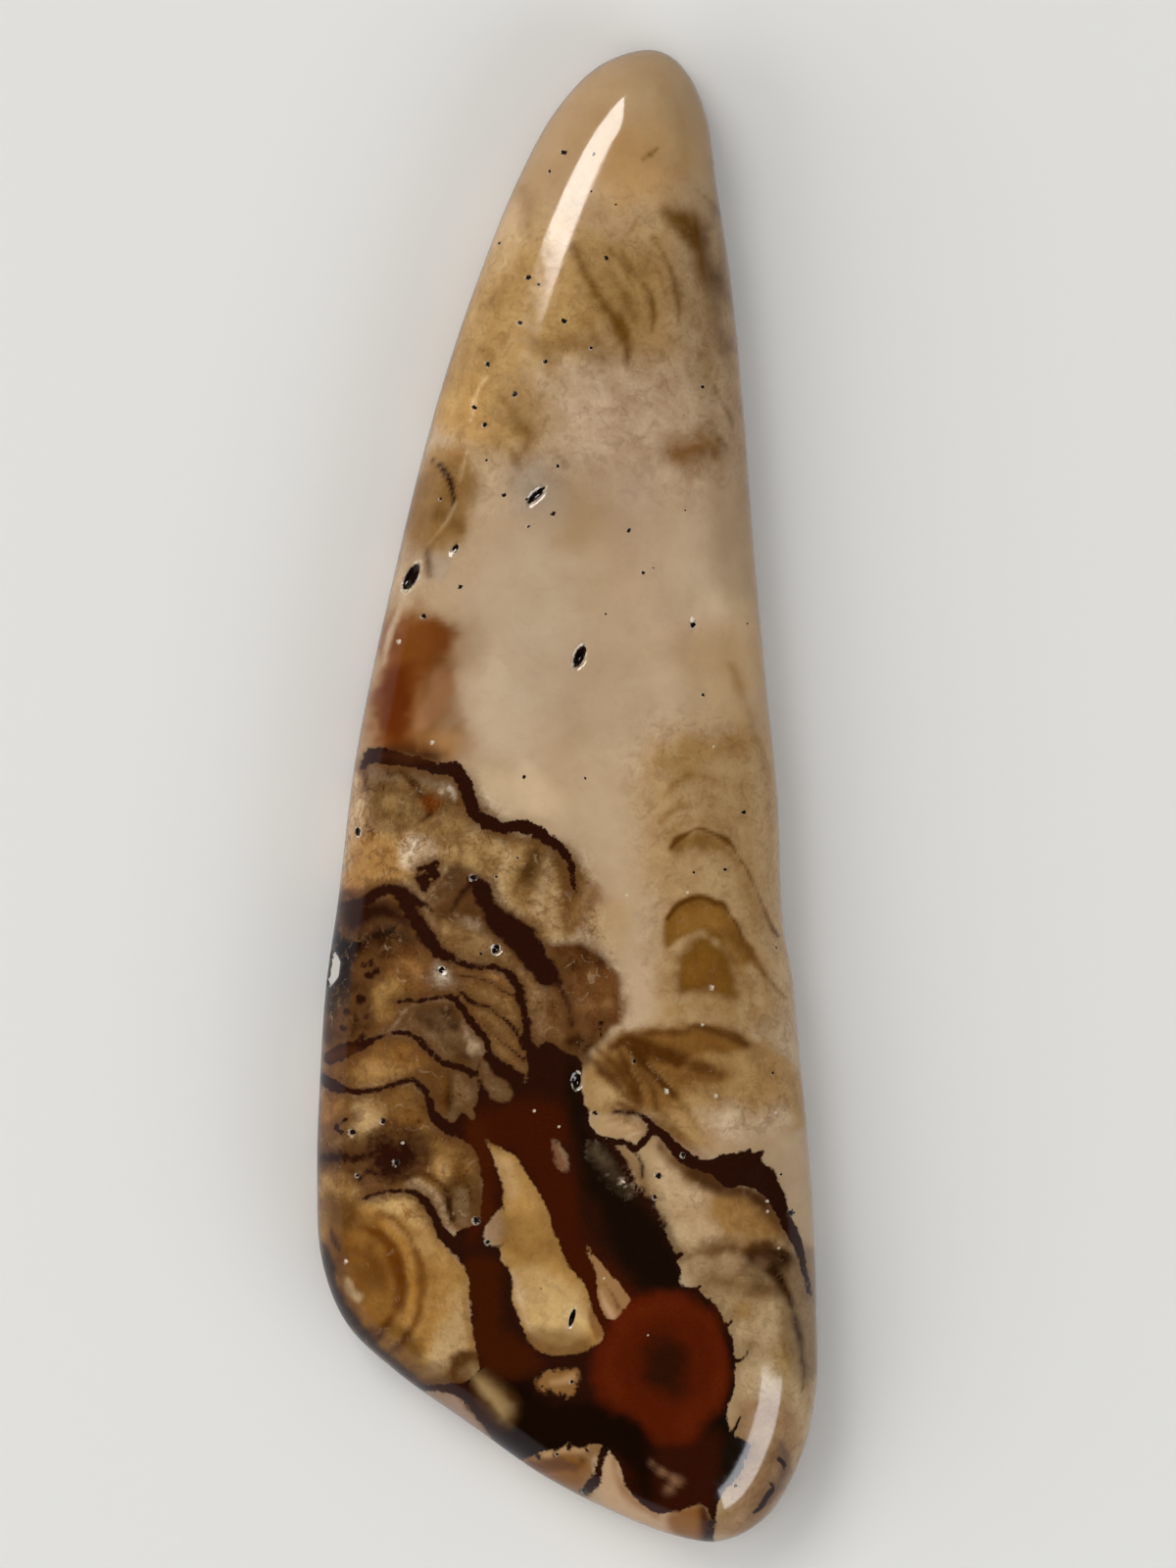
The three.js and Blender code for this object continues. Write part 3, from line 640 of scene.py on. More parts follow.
# Leaf-shaped tan slips between dark lines, left of the bush
paint(ground, [
    ([(-4.4, -7.0), (-3.0, -7.2), (-1.9, -8.2), (-1.6, -9.2), (-1.4, -11.6), (-3.2, -10.4), (-4.2, -8.0)],
     (142, 104, 58), 0.12),
])
mark(ink, [
    ([(-4.4, -7.3, 0.04), (-3.8, -7.4, 0.08), (-3.2, -7.6, 0.06), (-2.6, -7.95, 0.1), (-2.2, -8.15, 0.12),
     (-1.9, -8.5, 0.12)], 0.05, 0.3),
    ([(-4.35, -7.9, 0.1), (-3.95, -8.3, 0.2), (-3.65, -8.48, 0.16), (-3.1, -8.6, 0.1), (-2.75, -8.95, 0.1),
     (-2.25, -9.35, 0.16), (-1.9, -9.85, 0.18), (-1.7, -10.3, 0.18)], 0.045, 0.5),
    ([(-4.5, -8.2, 0.2), (-4.2, -8.7, 0.3), (-3.9, -9.2, 0.35), (-3.55, -9.6, 0.35), (-3.25, -9.95, 0.3),
     (-3.12, -10.4, 0.25), (-2.8, -10.85, 0.3), (-2.4, -11.15, 0.4), (-1.9, -11.5, 0.5)], 0.05),
    ([(-3.4, -9.2, 0.04), (-3.1, -9.55, 0.06), (-2.6, -10.0, 0.05), (-2.2, -10.3, 0.1),
     (-1.75, -10.8, 0.12)], 0.05, 0.3),
])

# The grey rock and the lines round it
paint(ground, [
    ([(-7.0, -9.5), (-6.6, -8.9), (-6.3, -8.6), (-5.8, -8.45), (-5.0, -8.3), (-4.5, -8.6), (-4.2, -9.6),
     (-4.0, -10.4), (-3.95, -10.85), (-4.3, -10.98), (-4.9, -10.85), (-5.2, -10.55), (-5.6, -10.1),
     (-5.9, -9.8), (-6.5, -9.5)], (118, 88, 56), 0.08),
    ([(-6.3, -9.3, 0.2), (-5.7, -9.6, 0.3), (-5.3, -10.1, 0.3), (-4.7, -10.6, 0.3)], (158, 130, 96), 0.2),
    ([(-5.3, -8.35), (-4.5, -8.5), (-4.3, -9.4), (-4.6, -9.7), (-5.0, -9.1)], (70, 42, 22), 0.15, 0.85),
])
for at_x, at_y, size in (
    (-4.95, -8.6, 0.1), (-4.8, -9.0, 0.07), (-4.6, -9.3, 0.08), (-5.25, -8.45, 0.08),
):
    lay(ground, spot(at_x, at_y, size), (176, 152, 124), 0.06, 0.8)
paint(ground, [
    ([(-6.4, -8.45, 0.12), (-6.75, -8.8, 0.14), (-7.0, -9.2, 0.12), (-7.3, -9.5, 0.1)], (92, 58, 26), 0.1),
])
mark(ink, [
    ([(-6.95, -8.45, 0.06), (-6.4, -8.36, 0.18), (-6.0, -8.35, 0.16), (-5.6, -8.26, 0.16),
     (-5.2, -8.18, 0.16), (-4.8, -8.18, 0.18), (-4.5, -8.35, 0.25), (-4.35, -8.7, 0.2)], 0.05),
    ([(-9.7, -10.7, 0.5), (-9.2, -10.45, 0.62), (-8.7, -10.25, 0.5), (-8.2, -10.1, 0.36),
     (-7.7, -9.88, 0.14), (-7.2, -9.72, 0.12), (-6.8, -9.66, 0.16), (-6.3, -9.73, 0.2),
     (-5.95, -9.93, 0.24), (-5.6, -10.4, 0.25), (-5.2, -10.75, 0.25), (-4.7, -10.95, 0.28),
     (-4.2, -11.1, 0.3), (-3.9, -11.3, 0.4)], 0.05),
])
paint(dark, [
    ([(-9.6, -10.6, 0.3), (-8.6, -10.4, 0.2)], (74, 38, 12), 0.3),
])

# The honey lens and the line below it
paint(ground, [
    ([(-9.9, -11.6), (-9.6, -10.9), (-8.3, -10.2), (-7.0, -9.8), (-6.1, -9.95), (-5.5, -10.6),
     (-4.6, -11.2), (-4.5, -12.0), (-4.8, -13.0), (-5.2, -13.0), (-5.5, -12.2), (-6.0, -11.7),
     (-7.0, -11.7), (-8.3, -12.0)], (136, 92, 42), 0.12),
    ([(-9.4, -11.4), (-8.3, -10.9), (-7.0, -10.9), (-6.1, -11.0), (-6.6, -11.5), (-8.2, -11.85),
     (-9.0, -11.75)], (160, 118, 66), 0.3),
    ([(-9.2, -11.75, 0.1), (-8.4, -11.85, 0.16), (-7.6, -11.72, 0.1), (-6.8, -11.45, 0.08)],
     (204, 164, 112), 0.08, 0.8),
])
mark(ink, [
    ([(-9.9, -11.6, 0.5), (-9.5, -11.8, 0.5), (-9.0, -12.0, 0.3), (-8.3, -12.05, 0.2), (-7.6, -11.95, 0.18),
     (-7.1, -11.8, 0.2), (-6.6, -11.63, 0.2), (-6.1, -11.68, 0.22), (-5.8, -11.95, 0.26),
     (-5.6, -12.35, 0.3), (-5.45, -12.85, 0.36), (-5.1, -13.3, 0.5), (-4.5, -13.55, 0.55),
     (-3.8, -13.6, 0.6)], 0.05),
])

# Brown slopes and the smudge between the two lower lines on the left
paint(ground, [
    ([(-9.9, -12.0), (-8.3, -12.2), (-6.3, -11.8), (-5.6, -12.6), (-5.2, -13.6), (-3.6, -14.0),
     (-3.3, -16.0), (-3.4, -17.4), (-4.4, -17.8), (-5.4, -16.6), (-6.6, -16.0), (-9.9, -16.4)],
     (132, 94, 48), 0.12),
    ([(-8.9, -12.5), (-7.7, -12.5), (-7.6, -13.3), (-8.0, -13.8), (-9.2, -14.2), (-9.4, -14.4)],
     (188, 154, 106), 0.35),
    ([(-9.9, -12.2), (-9.0, -12.2), (-9.0, -13.0), (-9.9, -13.2)], (166, 116, 56), 0.3),
    ([(-7.2, -13.2), (-6.0, -12.9), (-5.8, -13.8), (-6.8, -13.9)], (124, 82, 36), 0.4, 0.8),
    ([(-9.9, -15.1), (-8.9, -15.1), (-8.4, -15.9), (-8.6, -16.6), (-9.9, -16.8)], (178, 138, 82), 0.3),
    ([(-5.4, -14.6), (-4.8, -14.9), (-4.7, -15.6), (-5.2, -15.6)], (180, 138, 82), 0.3),
    ([(-6.5, -15.55), (-5.8, -15.7), (-5.3, -16.1), (-5.0, -16.7), (-4.8, -17.5), (-5.1, -17.4),
     (-5.4, -16.8), (-6.0, -16.1), (-6.5, -15.9)], (194, 164, 124), 0.09),
    ([(-4.5, -15.9), (-4.05, -16.0), (-3.9, -16.8), (-4.0, -17.5), (-4.4, -17.4), (-4.6, -16.7)],
     (170, 138, 98), 0.12),
    ([(-6.1, -15.3, 0.2), (-5.4, -15.5, 0.2), (-5.0, -15.95, 0.2), (-4.78, -16.5, 0.25),
     (-4.65, -17.2, 0.2)], (74, 42, 16), 0.1, 0.95),
    ([(-9.9, -14.4), (-8.8, -14.2), (-7.8, -13.6), (-6.6, -13.4), (-5.7, -13.9), (-5.6, -15.0),
     (-6.4, -15.6), (-8.0, -15.9), (-9.0, -15.3), (-9.9, -15.2)], (80, 52, 26), 0.35, 0.95),
    ([(-8.6, -14.9), (-8.0, -15.0), (-7.4, -15.6), (-7.3, -16.1), (-8.1, -16.3), (-8.5, -15.7)],
     (104, 72, 40), 0.15, 0.8),
    ([(-8.5, -15.5, 0.08), (-8.2, -15.9, 0.08), (-8.1, -16.4, 0.08)], (74, 44, 18), 0.06, 0.8),
])
mark(ink, [
    ([(-9.9, -14.8, 0.5), (-9.2, -14.7, 0.5), (-8.5, -14.75, 0.35), (-8.0, -14.6, 0.4)], 0.2, 2.0),
    ([(-8.0, -14.3), (-7.5, -13.9), (-6.9, -14.0), (-6.4, -13.8), (-6.1, -14.3), (-6.05, -14.9),
     (-6.4, -15.4), (-7.0, -15.65), (-7.6, -15.5), (-7.9, -15.0)], 0.42, 4.0),
    ([(-7.6, -15.4, 0.3), (-8.1, -15.3, 0.15), (-8.5, -15.6, 0.08)], 0.12, 1.5),
    ([(-9.55, -13.55), (-9.2, -13.32), (-8.93, -13.08), (-9.0, -13.35), (-9.2, -13.45), (-9.25, -13.58)],
     0.03),
    ([(-9.35, -13.68), (-9.05, -13.62), (-9.0, -13.78), (-9.15, -13.8)], 0.03),
])

# The lowest line on the left, and the honey eye with its arcs under it
paint(ground, [
    ([(-10.3, -16.2), (-8.2, -16.5), (-6.5, -16.2), (-5.6, -17.0), (-4.9, -18.1), (-4.1, -19.2),
     (-3.8, -21), (-3.6, -23), (-3.0, -24), (-6.0, -24.1), (-9.4, -22), (-10.6, -19)],
     (166, 122, 64), 0.15),
    ([(-7.6, -16.4), (-6.4, -16.3), (-5.7, -17.1), (-5.3, -18.0), (-5.6, -18.8), (-7.0, -17.6)],
     (184, 146, 90), 0.35),
    ([(-7.9, -17.0), (-7.0, -18.2), (-6.55, -19.4), (-6.6, -20.6), (-7.0, -21.8), (-7.8, -22.4),
     (-9.4, -21.4), (-9.8, -18.5), (-9.4, -17.2)], (134, 90, 36), 0.45),
    ([(-9.7, -16.4), (-8.7, -16.8), (-7.9, -17.2), (-8.4, -17.6), (-9.6, -17.4)], (120, 82, 34), 0.35, 0.8),
    ([(-8.2, -17.6, 0.2), (-7.5, -17.9, 0.4), (-7.0, -18.6, 0.5), (-6.75, -19.4, 0.55), (-6.7, -20.2, 0.5),
     (-7.0, -21.0, 0.45), (-7.5, -21.8, 0.4), (-8.1, -22.5, 0.3)], (98, 52, 8), 0.25, 1.0),
    ([(-8.2, -18.6, 0.2), (-7.6, -19.2, 0.3), (-7.4, -20.0, 0.3), (-7.5, -20.8, 0.25)],
     (112, 68, 20), 0.25, 0.7),
    ([(-7.4, -17.4, 0.15), (-6.7, -18.1, 0.25), (-6.35, -19.0, 0.3), (-6.2, -19.8, 0.3),
     (-6.35, -20.8, 0.25), (-6.9, -21.8, 0.25), (-7.6, -22.7, 0.2)], (166, 116, 50), 0.16, 1.0),
    ([(-7.6, -16.9, 0.15), (-6.8, -17.4, 0.3), (-6.2, -18.3, 0.35), (-5.85, -19.3, 0.35),
     (-5.85, -20.2, 0.35), (-6.1, -21.2, 0.35), (-6.6, -22.1, 0.35), (-7.3, -22.9, 0.3)],
     (112, 66, 18), 0.2, 0.95),
    ([(-6.6, -17.2, 0.2), (-5.9, -18.0, 0.3), (-5.5, -19.0, 0.3), (-5.4, -20.2, 0.3), (-5.6, -21.4, 0.3),
     (-6.2, -22.5, 0.3), (-6.9, -23.2, 0.3)], (152, 108, 48), 0.25, 0.8),
    ([(-5.4, -18.4), (-4.9, -18.4), (-4.2, -19.4), (-4.0, -21), (-4.1, -22.6), (-4.6, -23.4), (-5.7, -23.9),
     (-6.4, -23.6), (-5.5, -22.4), (-5.1, -20.6)], (172, 130, 70), 0.35),
    ([(-4.4, -20.0), (-4.0, -20.8), (-4.1, -22.2), (-4.7, -23.1), (-5.5, -23.4), (-5.3, -22.4),
     (-4.8, -21.2)], (190, 158, 112), 0.4, 0.9),
    ([(-7.6, -16.5, 0.2), (-6.6, -16.8, 0.4), (-5.9, -17.5, 0.4), (-5.4, -18.4, 0.3)],
     (190, 152, 96), 0.2, 0.8),
    ([(-4.0, -23.3, 0.3), (-4.8, -23.75, 0.3), (-5.8, -24.0, 0.2)], (120, 82, 36), 0.2, 0.9),
    ([(-9.05, -19.55), (-8.7, -19.7), (-8.5, -20.1), (-8.25, -20.4), (-8.5, -20.7), (-8.9, -20.45),
     (-9.1, -20.1)], (192, 164, 122), 0.1),
    ([(-9.9, -18.4, 0.4), (-9.75, -19.2, 0.7), (-9.5, -20.0, 0.6), (-9.1, -20.9, 0.6), (-8.5, -21.7, 0.6),
     (-7.8, -22.5, 0.5), (-6.9, -23.3, 0.5), (-6.0, -24.0, 0.4), (-5.0, -24.6, 0.3)], (50, 28, 16), 0.18),
    ([(-9.6, -17.5, 0.1), (-9.5, -18.1, 0.2), (-9.3, -18.5, 0.1)], (62, 36, 18), 0.08, 0.9),
])
mark(ink, [
    ([(-8.4, -16.45, 0.04), (-8.0, -16.3, 0.1), (-7.5, -16.15, 0.13), (-7.0, -16.06, 0.15),
     (-6.4, -16.1, 0.2), (-6.0, -16.3, 0.3), (-5.6, -16.7, 0.36), (-5.35, -17.2, 0.36),
     (-5.05, -17.75, 0.45), (-4.6, -18.2, 0.6), (-4.1, -18.6, 0.7)], 0.06),
])

# The arches on the right, drawn one inside another in brown
paint(ground, [
    ([(3.4, 2.0), (5.0, 2.6), (8.2, 2.8), (9.2, -6.0), (8.6, -9.5), (3.4, -9.5), (3.6, -5.0), (3.0, -1.5)],
     (172, 137, 90), 0.9, 0.9),
    ([(5.0, 6.3), (7.6, 6.6), (8.2, 2.0), (7.0, 1.6), (5.4, 3.0)], (172, 138, 96), 1.2, 0.7),
    ([(4.6, 2.2), (6.0, 2.4), (7.6, 2.6), (7.7, 1.6), (6.0, 1.4), (5.0, 1.2)], (154, 114, 60), 0.5, 0.6),
    ([(6.7, 5.2, 0.1), (7.1, 4.2, 0.2), (7.4, 3.3, 0.3), (7.7, 2.3, 0.3), (8.0, 1.2, 0.2)],
     (132, 94, 46), 0.25, 0.6),
    ([(3.5, 1.5, 0.2), (4.3, 1.35, 0.4), (5.0, 0.8, 0.2)], (150, 112, 58), 0.35, 0.5),
    ([(3.9, -0.1, 0.2), (4.3, 0.4, 0.25), (4.9, 0.78, 0.14), (5.6, 0.68, 0.1), (6.4, 0.3, 0.1)],
     (146, 107, 54), 0.16, 0.7),
    ([(3.8, -1.1, 0.3), (4.3, -0.6, 0.3), (5.0, -0.35, 0.22), (5.8, -0.45, 0.12)],
     (140, 100, 48), 0.2, 0.7),
    ([(4.1, -1.5, 0.3), (4.7, -1.15, 0.25), (5.4, -1.05, 0.15), (6.2, -1.3, 0.1)],
     (146, 106, 54), 0.2, 0.6),
    ([(4.2, -2.0), (4.5, -1.6), (5.2, -1.35), (5.9, -1.5), (6.5, -1.95), (7.1, -2.8), (7.0, -3.0),
     (6.2, -2.4), (5.2, -2.15), (4.5, -2.4)], (134, 94, 40), 0.28, 0.9),
    ([(4.3, -2.9), (5.2, -2.5), (6.2, -2.8), (6.9, -3.6), (6.7, -4.4), (5.8, -3.7), (4.8, -3.7),
     (4.2, -4.2)], (178, 144, 98), 0.3, 0.8),
    ([(4.2, -2.15, 0.15), (4.45, -1.8, 0.28), (4.75, -1.6, 0.25), (5.1, -1.42, 0.16), (5.55, -1.4, 0.13),
     (6.05, -1.6, 0.2), (6.55, -1.95, 0.2), (6.95, -2.45, 0.15), (7.35, -3.15, 0.13), (7.7, -3.9, 0.12),
     (8.1, -4.8, 0.14), (8.6, -5.75, 0.16)], (96, 56, 12), 0.08, 0.95),
    ([(7.0, -3.0, 0.3), (7.5, -4.1, 0.5), (8.0, -5.2, 0.4)], (146, 106, 54), 0.3, 0.55),
    ([(3.9, -5.5), (4.15, -4.85), (4.65, -4.35), (5.3, -4.05), (5.9, -4.2), (6.45, -4.55), (6.8, -5.05),
     (7.15, -5.8), (7.5, -6.6), (7.0, -6.9), (6.2, -6.0), (5.4, -5.5), (4.6, -5.9), (4.0, -6.3)],
     (126, 84, 30), 0.16),
    ([(4.6, -5.0), (5.2, -4.6), (5.9, -4.8), (6.3, -5.4), (5.4, -5.3), (4.7, -5.6)],
     (146, 102, 44), 0.3, 0.8),
    ([(4.1, -5.0, 0.12), (4.45, -4.55, 0.16), (4.9, -4.25, 0.17), (5.35, -4.1, 0.19), (5.75, -4.2, 0.2),
     (6.05, -4.38, 0.14), (6.3, -4.4, 0.1), (6.6, -4.75, 0.1), (6.9, -5.25, 0.1), (7.15, -5.85, 0.12)],
     (88, 50, 10), 0.08, 0.95),
    ([(3.8, -6.6), (4.3, -6.2), (4.0, -7.4), (3.9, -8.8), (3.5, -8.4)], (176, 142, 96), 0.35, 0.8),
    ([(4.4, -7.0), (4.7, -6.2), (5.1, -5.8), (5.5, -5.65), (6.0, -5.95), (6.5, -6.6), (6.8, -7.5),
     (6.9, -8.3), (5.8, -8.0), (4.6, -8.2), (4.3, -7.7)], (116, 76, 24), 0.35),
    ([(4.9, -6.8), (5.4, -6.3), (6.0, -6.9), (6.2, -7.8), (5.4, -7.6), (4.8, -7.7)],
     (128, 84, 28), 0.3, 0.8),
    ([(6.4, -5.9, 0.1), (6.9, -6.7, 0.25), (7.3, -7.7, 0.3), (7.6, -8.7, 0.2)], (150, 110, 58), 0.22, 0.7),
    ([(7.1, -5.8, 0.14), (7.4, -6.4, 0.18), (7.8, -7.0, 0.2), (8.3, -7.6, 0.18), (8.9, -8.3, 0.16)],
     (118, 76, 30), 0.12, 0.85),
    ([(4.3, -8.7, 0.2), (5.2, -8.5, 0.3), (6.2, -8.6, 0.3), (7.0, -9.0, 0.2)], (158, 120, 66), 0.3, 0.6),
    ([(2.6, -5.6), (3.5, -5.2), (3.5, -7.0), (3.3, -9.0), (2.7, -9.3), (2.6, -8.0)], (194, 164, 130), 0.5),
    ([(0.8, -5.2), (2.2, -4.4), (2.3, -6.6), (1.9, -6.4)], (180, 148, 106), 0.4),
])

# The brush marks that fan out below the arches
FAN_BROWN = (82, 46, 12)
paint(ground, [
    ([(0.8, -10.8), (2.2, -9.8), (4.0, -9.55), (5.4, -9.3), (7.4, -9.9), (9.4, -11.0), (9.7, -13.5),
     (5.6, -14.5), (3.4, -13.2), (1.0, -13.0)], (168, 130, 80), 0.3),
    ([(2.1, -9.9), (3.0, -9.65), (4.2, -9.5), (5.4, -9.35), (6.4, -9.6), (7.3, -10.1), (6.6, -10.5),
     (4.6, -10.5), (3.0, -10.5)], (126, 84, 32), 0.25, 0.95),
    ([(1.9, -10.2), (2.6, -9.8), (4.2, -10.3), (6.3, -10.9), (6.7, -11.5), (5.6, -11.9), (4.7, -12.0),
     (4.6, -12.6), (3.6, -12.9), (2.9, -12.8), (2.2, -11.8), (1.2, -11.0)], (128, 86, 36), 0.35, 0.9),
])
FAN = [
    ([(5.0, -9.4, 0.15), (5.5, -9.42, 0.25), (6.3, -9.65, 0.2), (6.9, -9.9, 0.25), (7.3, -10.15, 0.12)],
     0.14, 0.8),
    ([(3.0, -9.75, 0.1), (3.9, -9.62, 0.2), (4.9, -9.6, 0.12)], 0.12, 0.6),
    ([(1.9, -10.3, 0.3), (2.5, -9.95, 0.45), (3.2, -10.2, 0.5), (3.9, -10.5, 0.5), (4.6, -10.75, 0.45)],
     0.22, 1.0),
    ([(4.0, -10.6, 0.2), (4.9, -10.9, 0.45), (5.6, -11.1, 0.5), (6.2, -11.3, 0.3)], 0.2, 0.75),
    ([(2.4, -10.1, 0.25), (2.9, -10.6, 0.5), (3.3, -11.1, 0.45), (3.8, -11.6, 0.4), (4.3, -12.2, 0.3)],
     0.14, 1.0),
    ([(2.1, -10.3, 0.2), (2.4, -11.0, 0.4), (2.75, -11.6, 0.6), (2.9, -12.2, 0.6), (3.0, -12.7, 0.3)],
     0.2, 0.95),
    ([(2.7, -10.4, 0.2), (3.0, -11.2, 0.25), (3.5, -12.0, 0.3), (3.6, -12.8, 0.2)], 0.12, 0.7),
    ([(0.9, -10.7, 0.25), (1.5, -11.2, 0.4), (2.1, -11.8, 0.4), (2.6, -12.4, 0.3)], 0.16, 0.8),
    ([(1.3, -10.4, 0.2), (1.9, -10.9, 0.3), (2.4, -11.6, 0.3)], 0.16, 0.7),
    ([(1.9, -12.3, 0.15), (2.4, -12.65, 0.35), (2.9, -12.9, 0.3)], 0.12, 0.9),
    ([(3.4, -12.4, 0.2), (4.0, -13.1, 0.25), (4.7, -13.9, 0.2)], 0.2, 0.55),
    ([(4.4, -12.3, 0.15), (4.9, -12.9, 0.25), (5.5, -13.7, 0.2)], 0.2, 0.4),
    ([(5.2, -11.9, 0.2), (6.0, -12.2, 0.25), (6.8, -12.6, 0.15)], 0.25, 0.45),
    ([(6.8, -9.6, 0.2), (7.6, -10.4, 0.4), (8.2, -11.4, 0.3)], 0.35, 0.3),
]
for points, soft, strength in FAN:
    lay(ground, stroke(points), FAN_BROWN, soft, strength)
paint(ground, [
    ([(3.3, -10.9, 0.08), (3.8, -11.35, 0.1), (4.2, -11.8, 0.08)], (150, 112, 62), 0.06, 0.7),
    ([(2.6, -11.1, 0.08), (3.0, -11.8, 0.12), (3.3, -12.5, 0.08)], (150, 112, 62), 0.07, 0.7),
    ([(1.0, -11.6), (1.7, -11.9), (2.2, -12.3), (1.9, -12.7), (1.1, -12.6)], (176, 140, 92), 0.2),
    ([(5.6, -12.9), (8.6, -12.8), (9.0, -14.2), (8.0, -14.4), (6.4, -14.5), (5.9, -14.1)],
     (192, 162, 126), 0.5),
    ([(3.4, -13.2, 0.2), (4.2, -13.6, 0.4), (5.0, -14.3, 0.5), (5.6, -14.7, 0.3)],
     (120, 80, 32), 0.25, 0.8),
    ([(1.0, -13.1), (2.0, -12.95), (3.0, -13.2), (3.3, -13.5), (2.9, -14.2), (2.0, -13.95), (1.2, -13.6)],
     (184, 150, 106), 0.1),
    ([(1.6, -13.2, 0.2), (2.2, -13.1, 0.3), (2.8, -13.3, 0.2)], (146, 106, 58), 0.15, 0.8),
    ([(2.3, -13.85, 0.08), (2.65, -13.75, 0.12), (3.0, -13.7, 0.1)], (206, 178, 140), 0.06, 0.9),
])

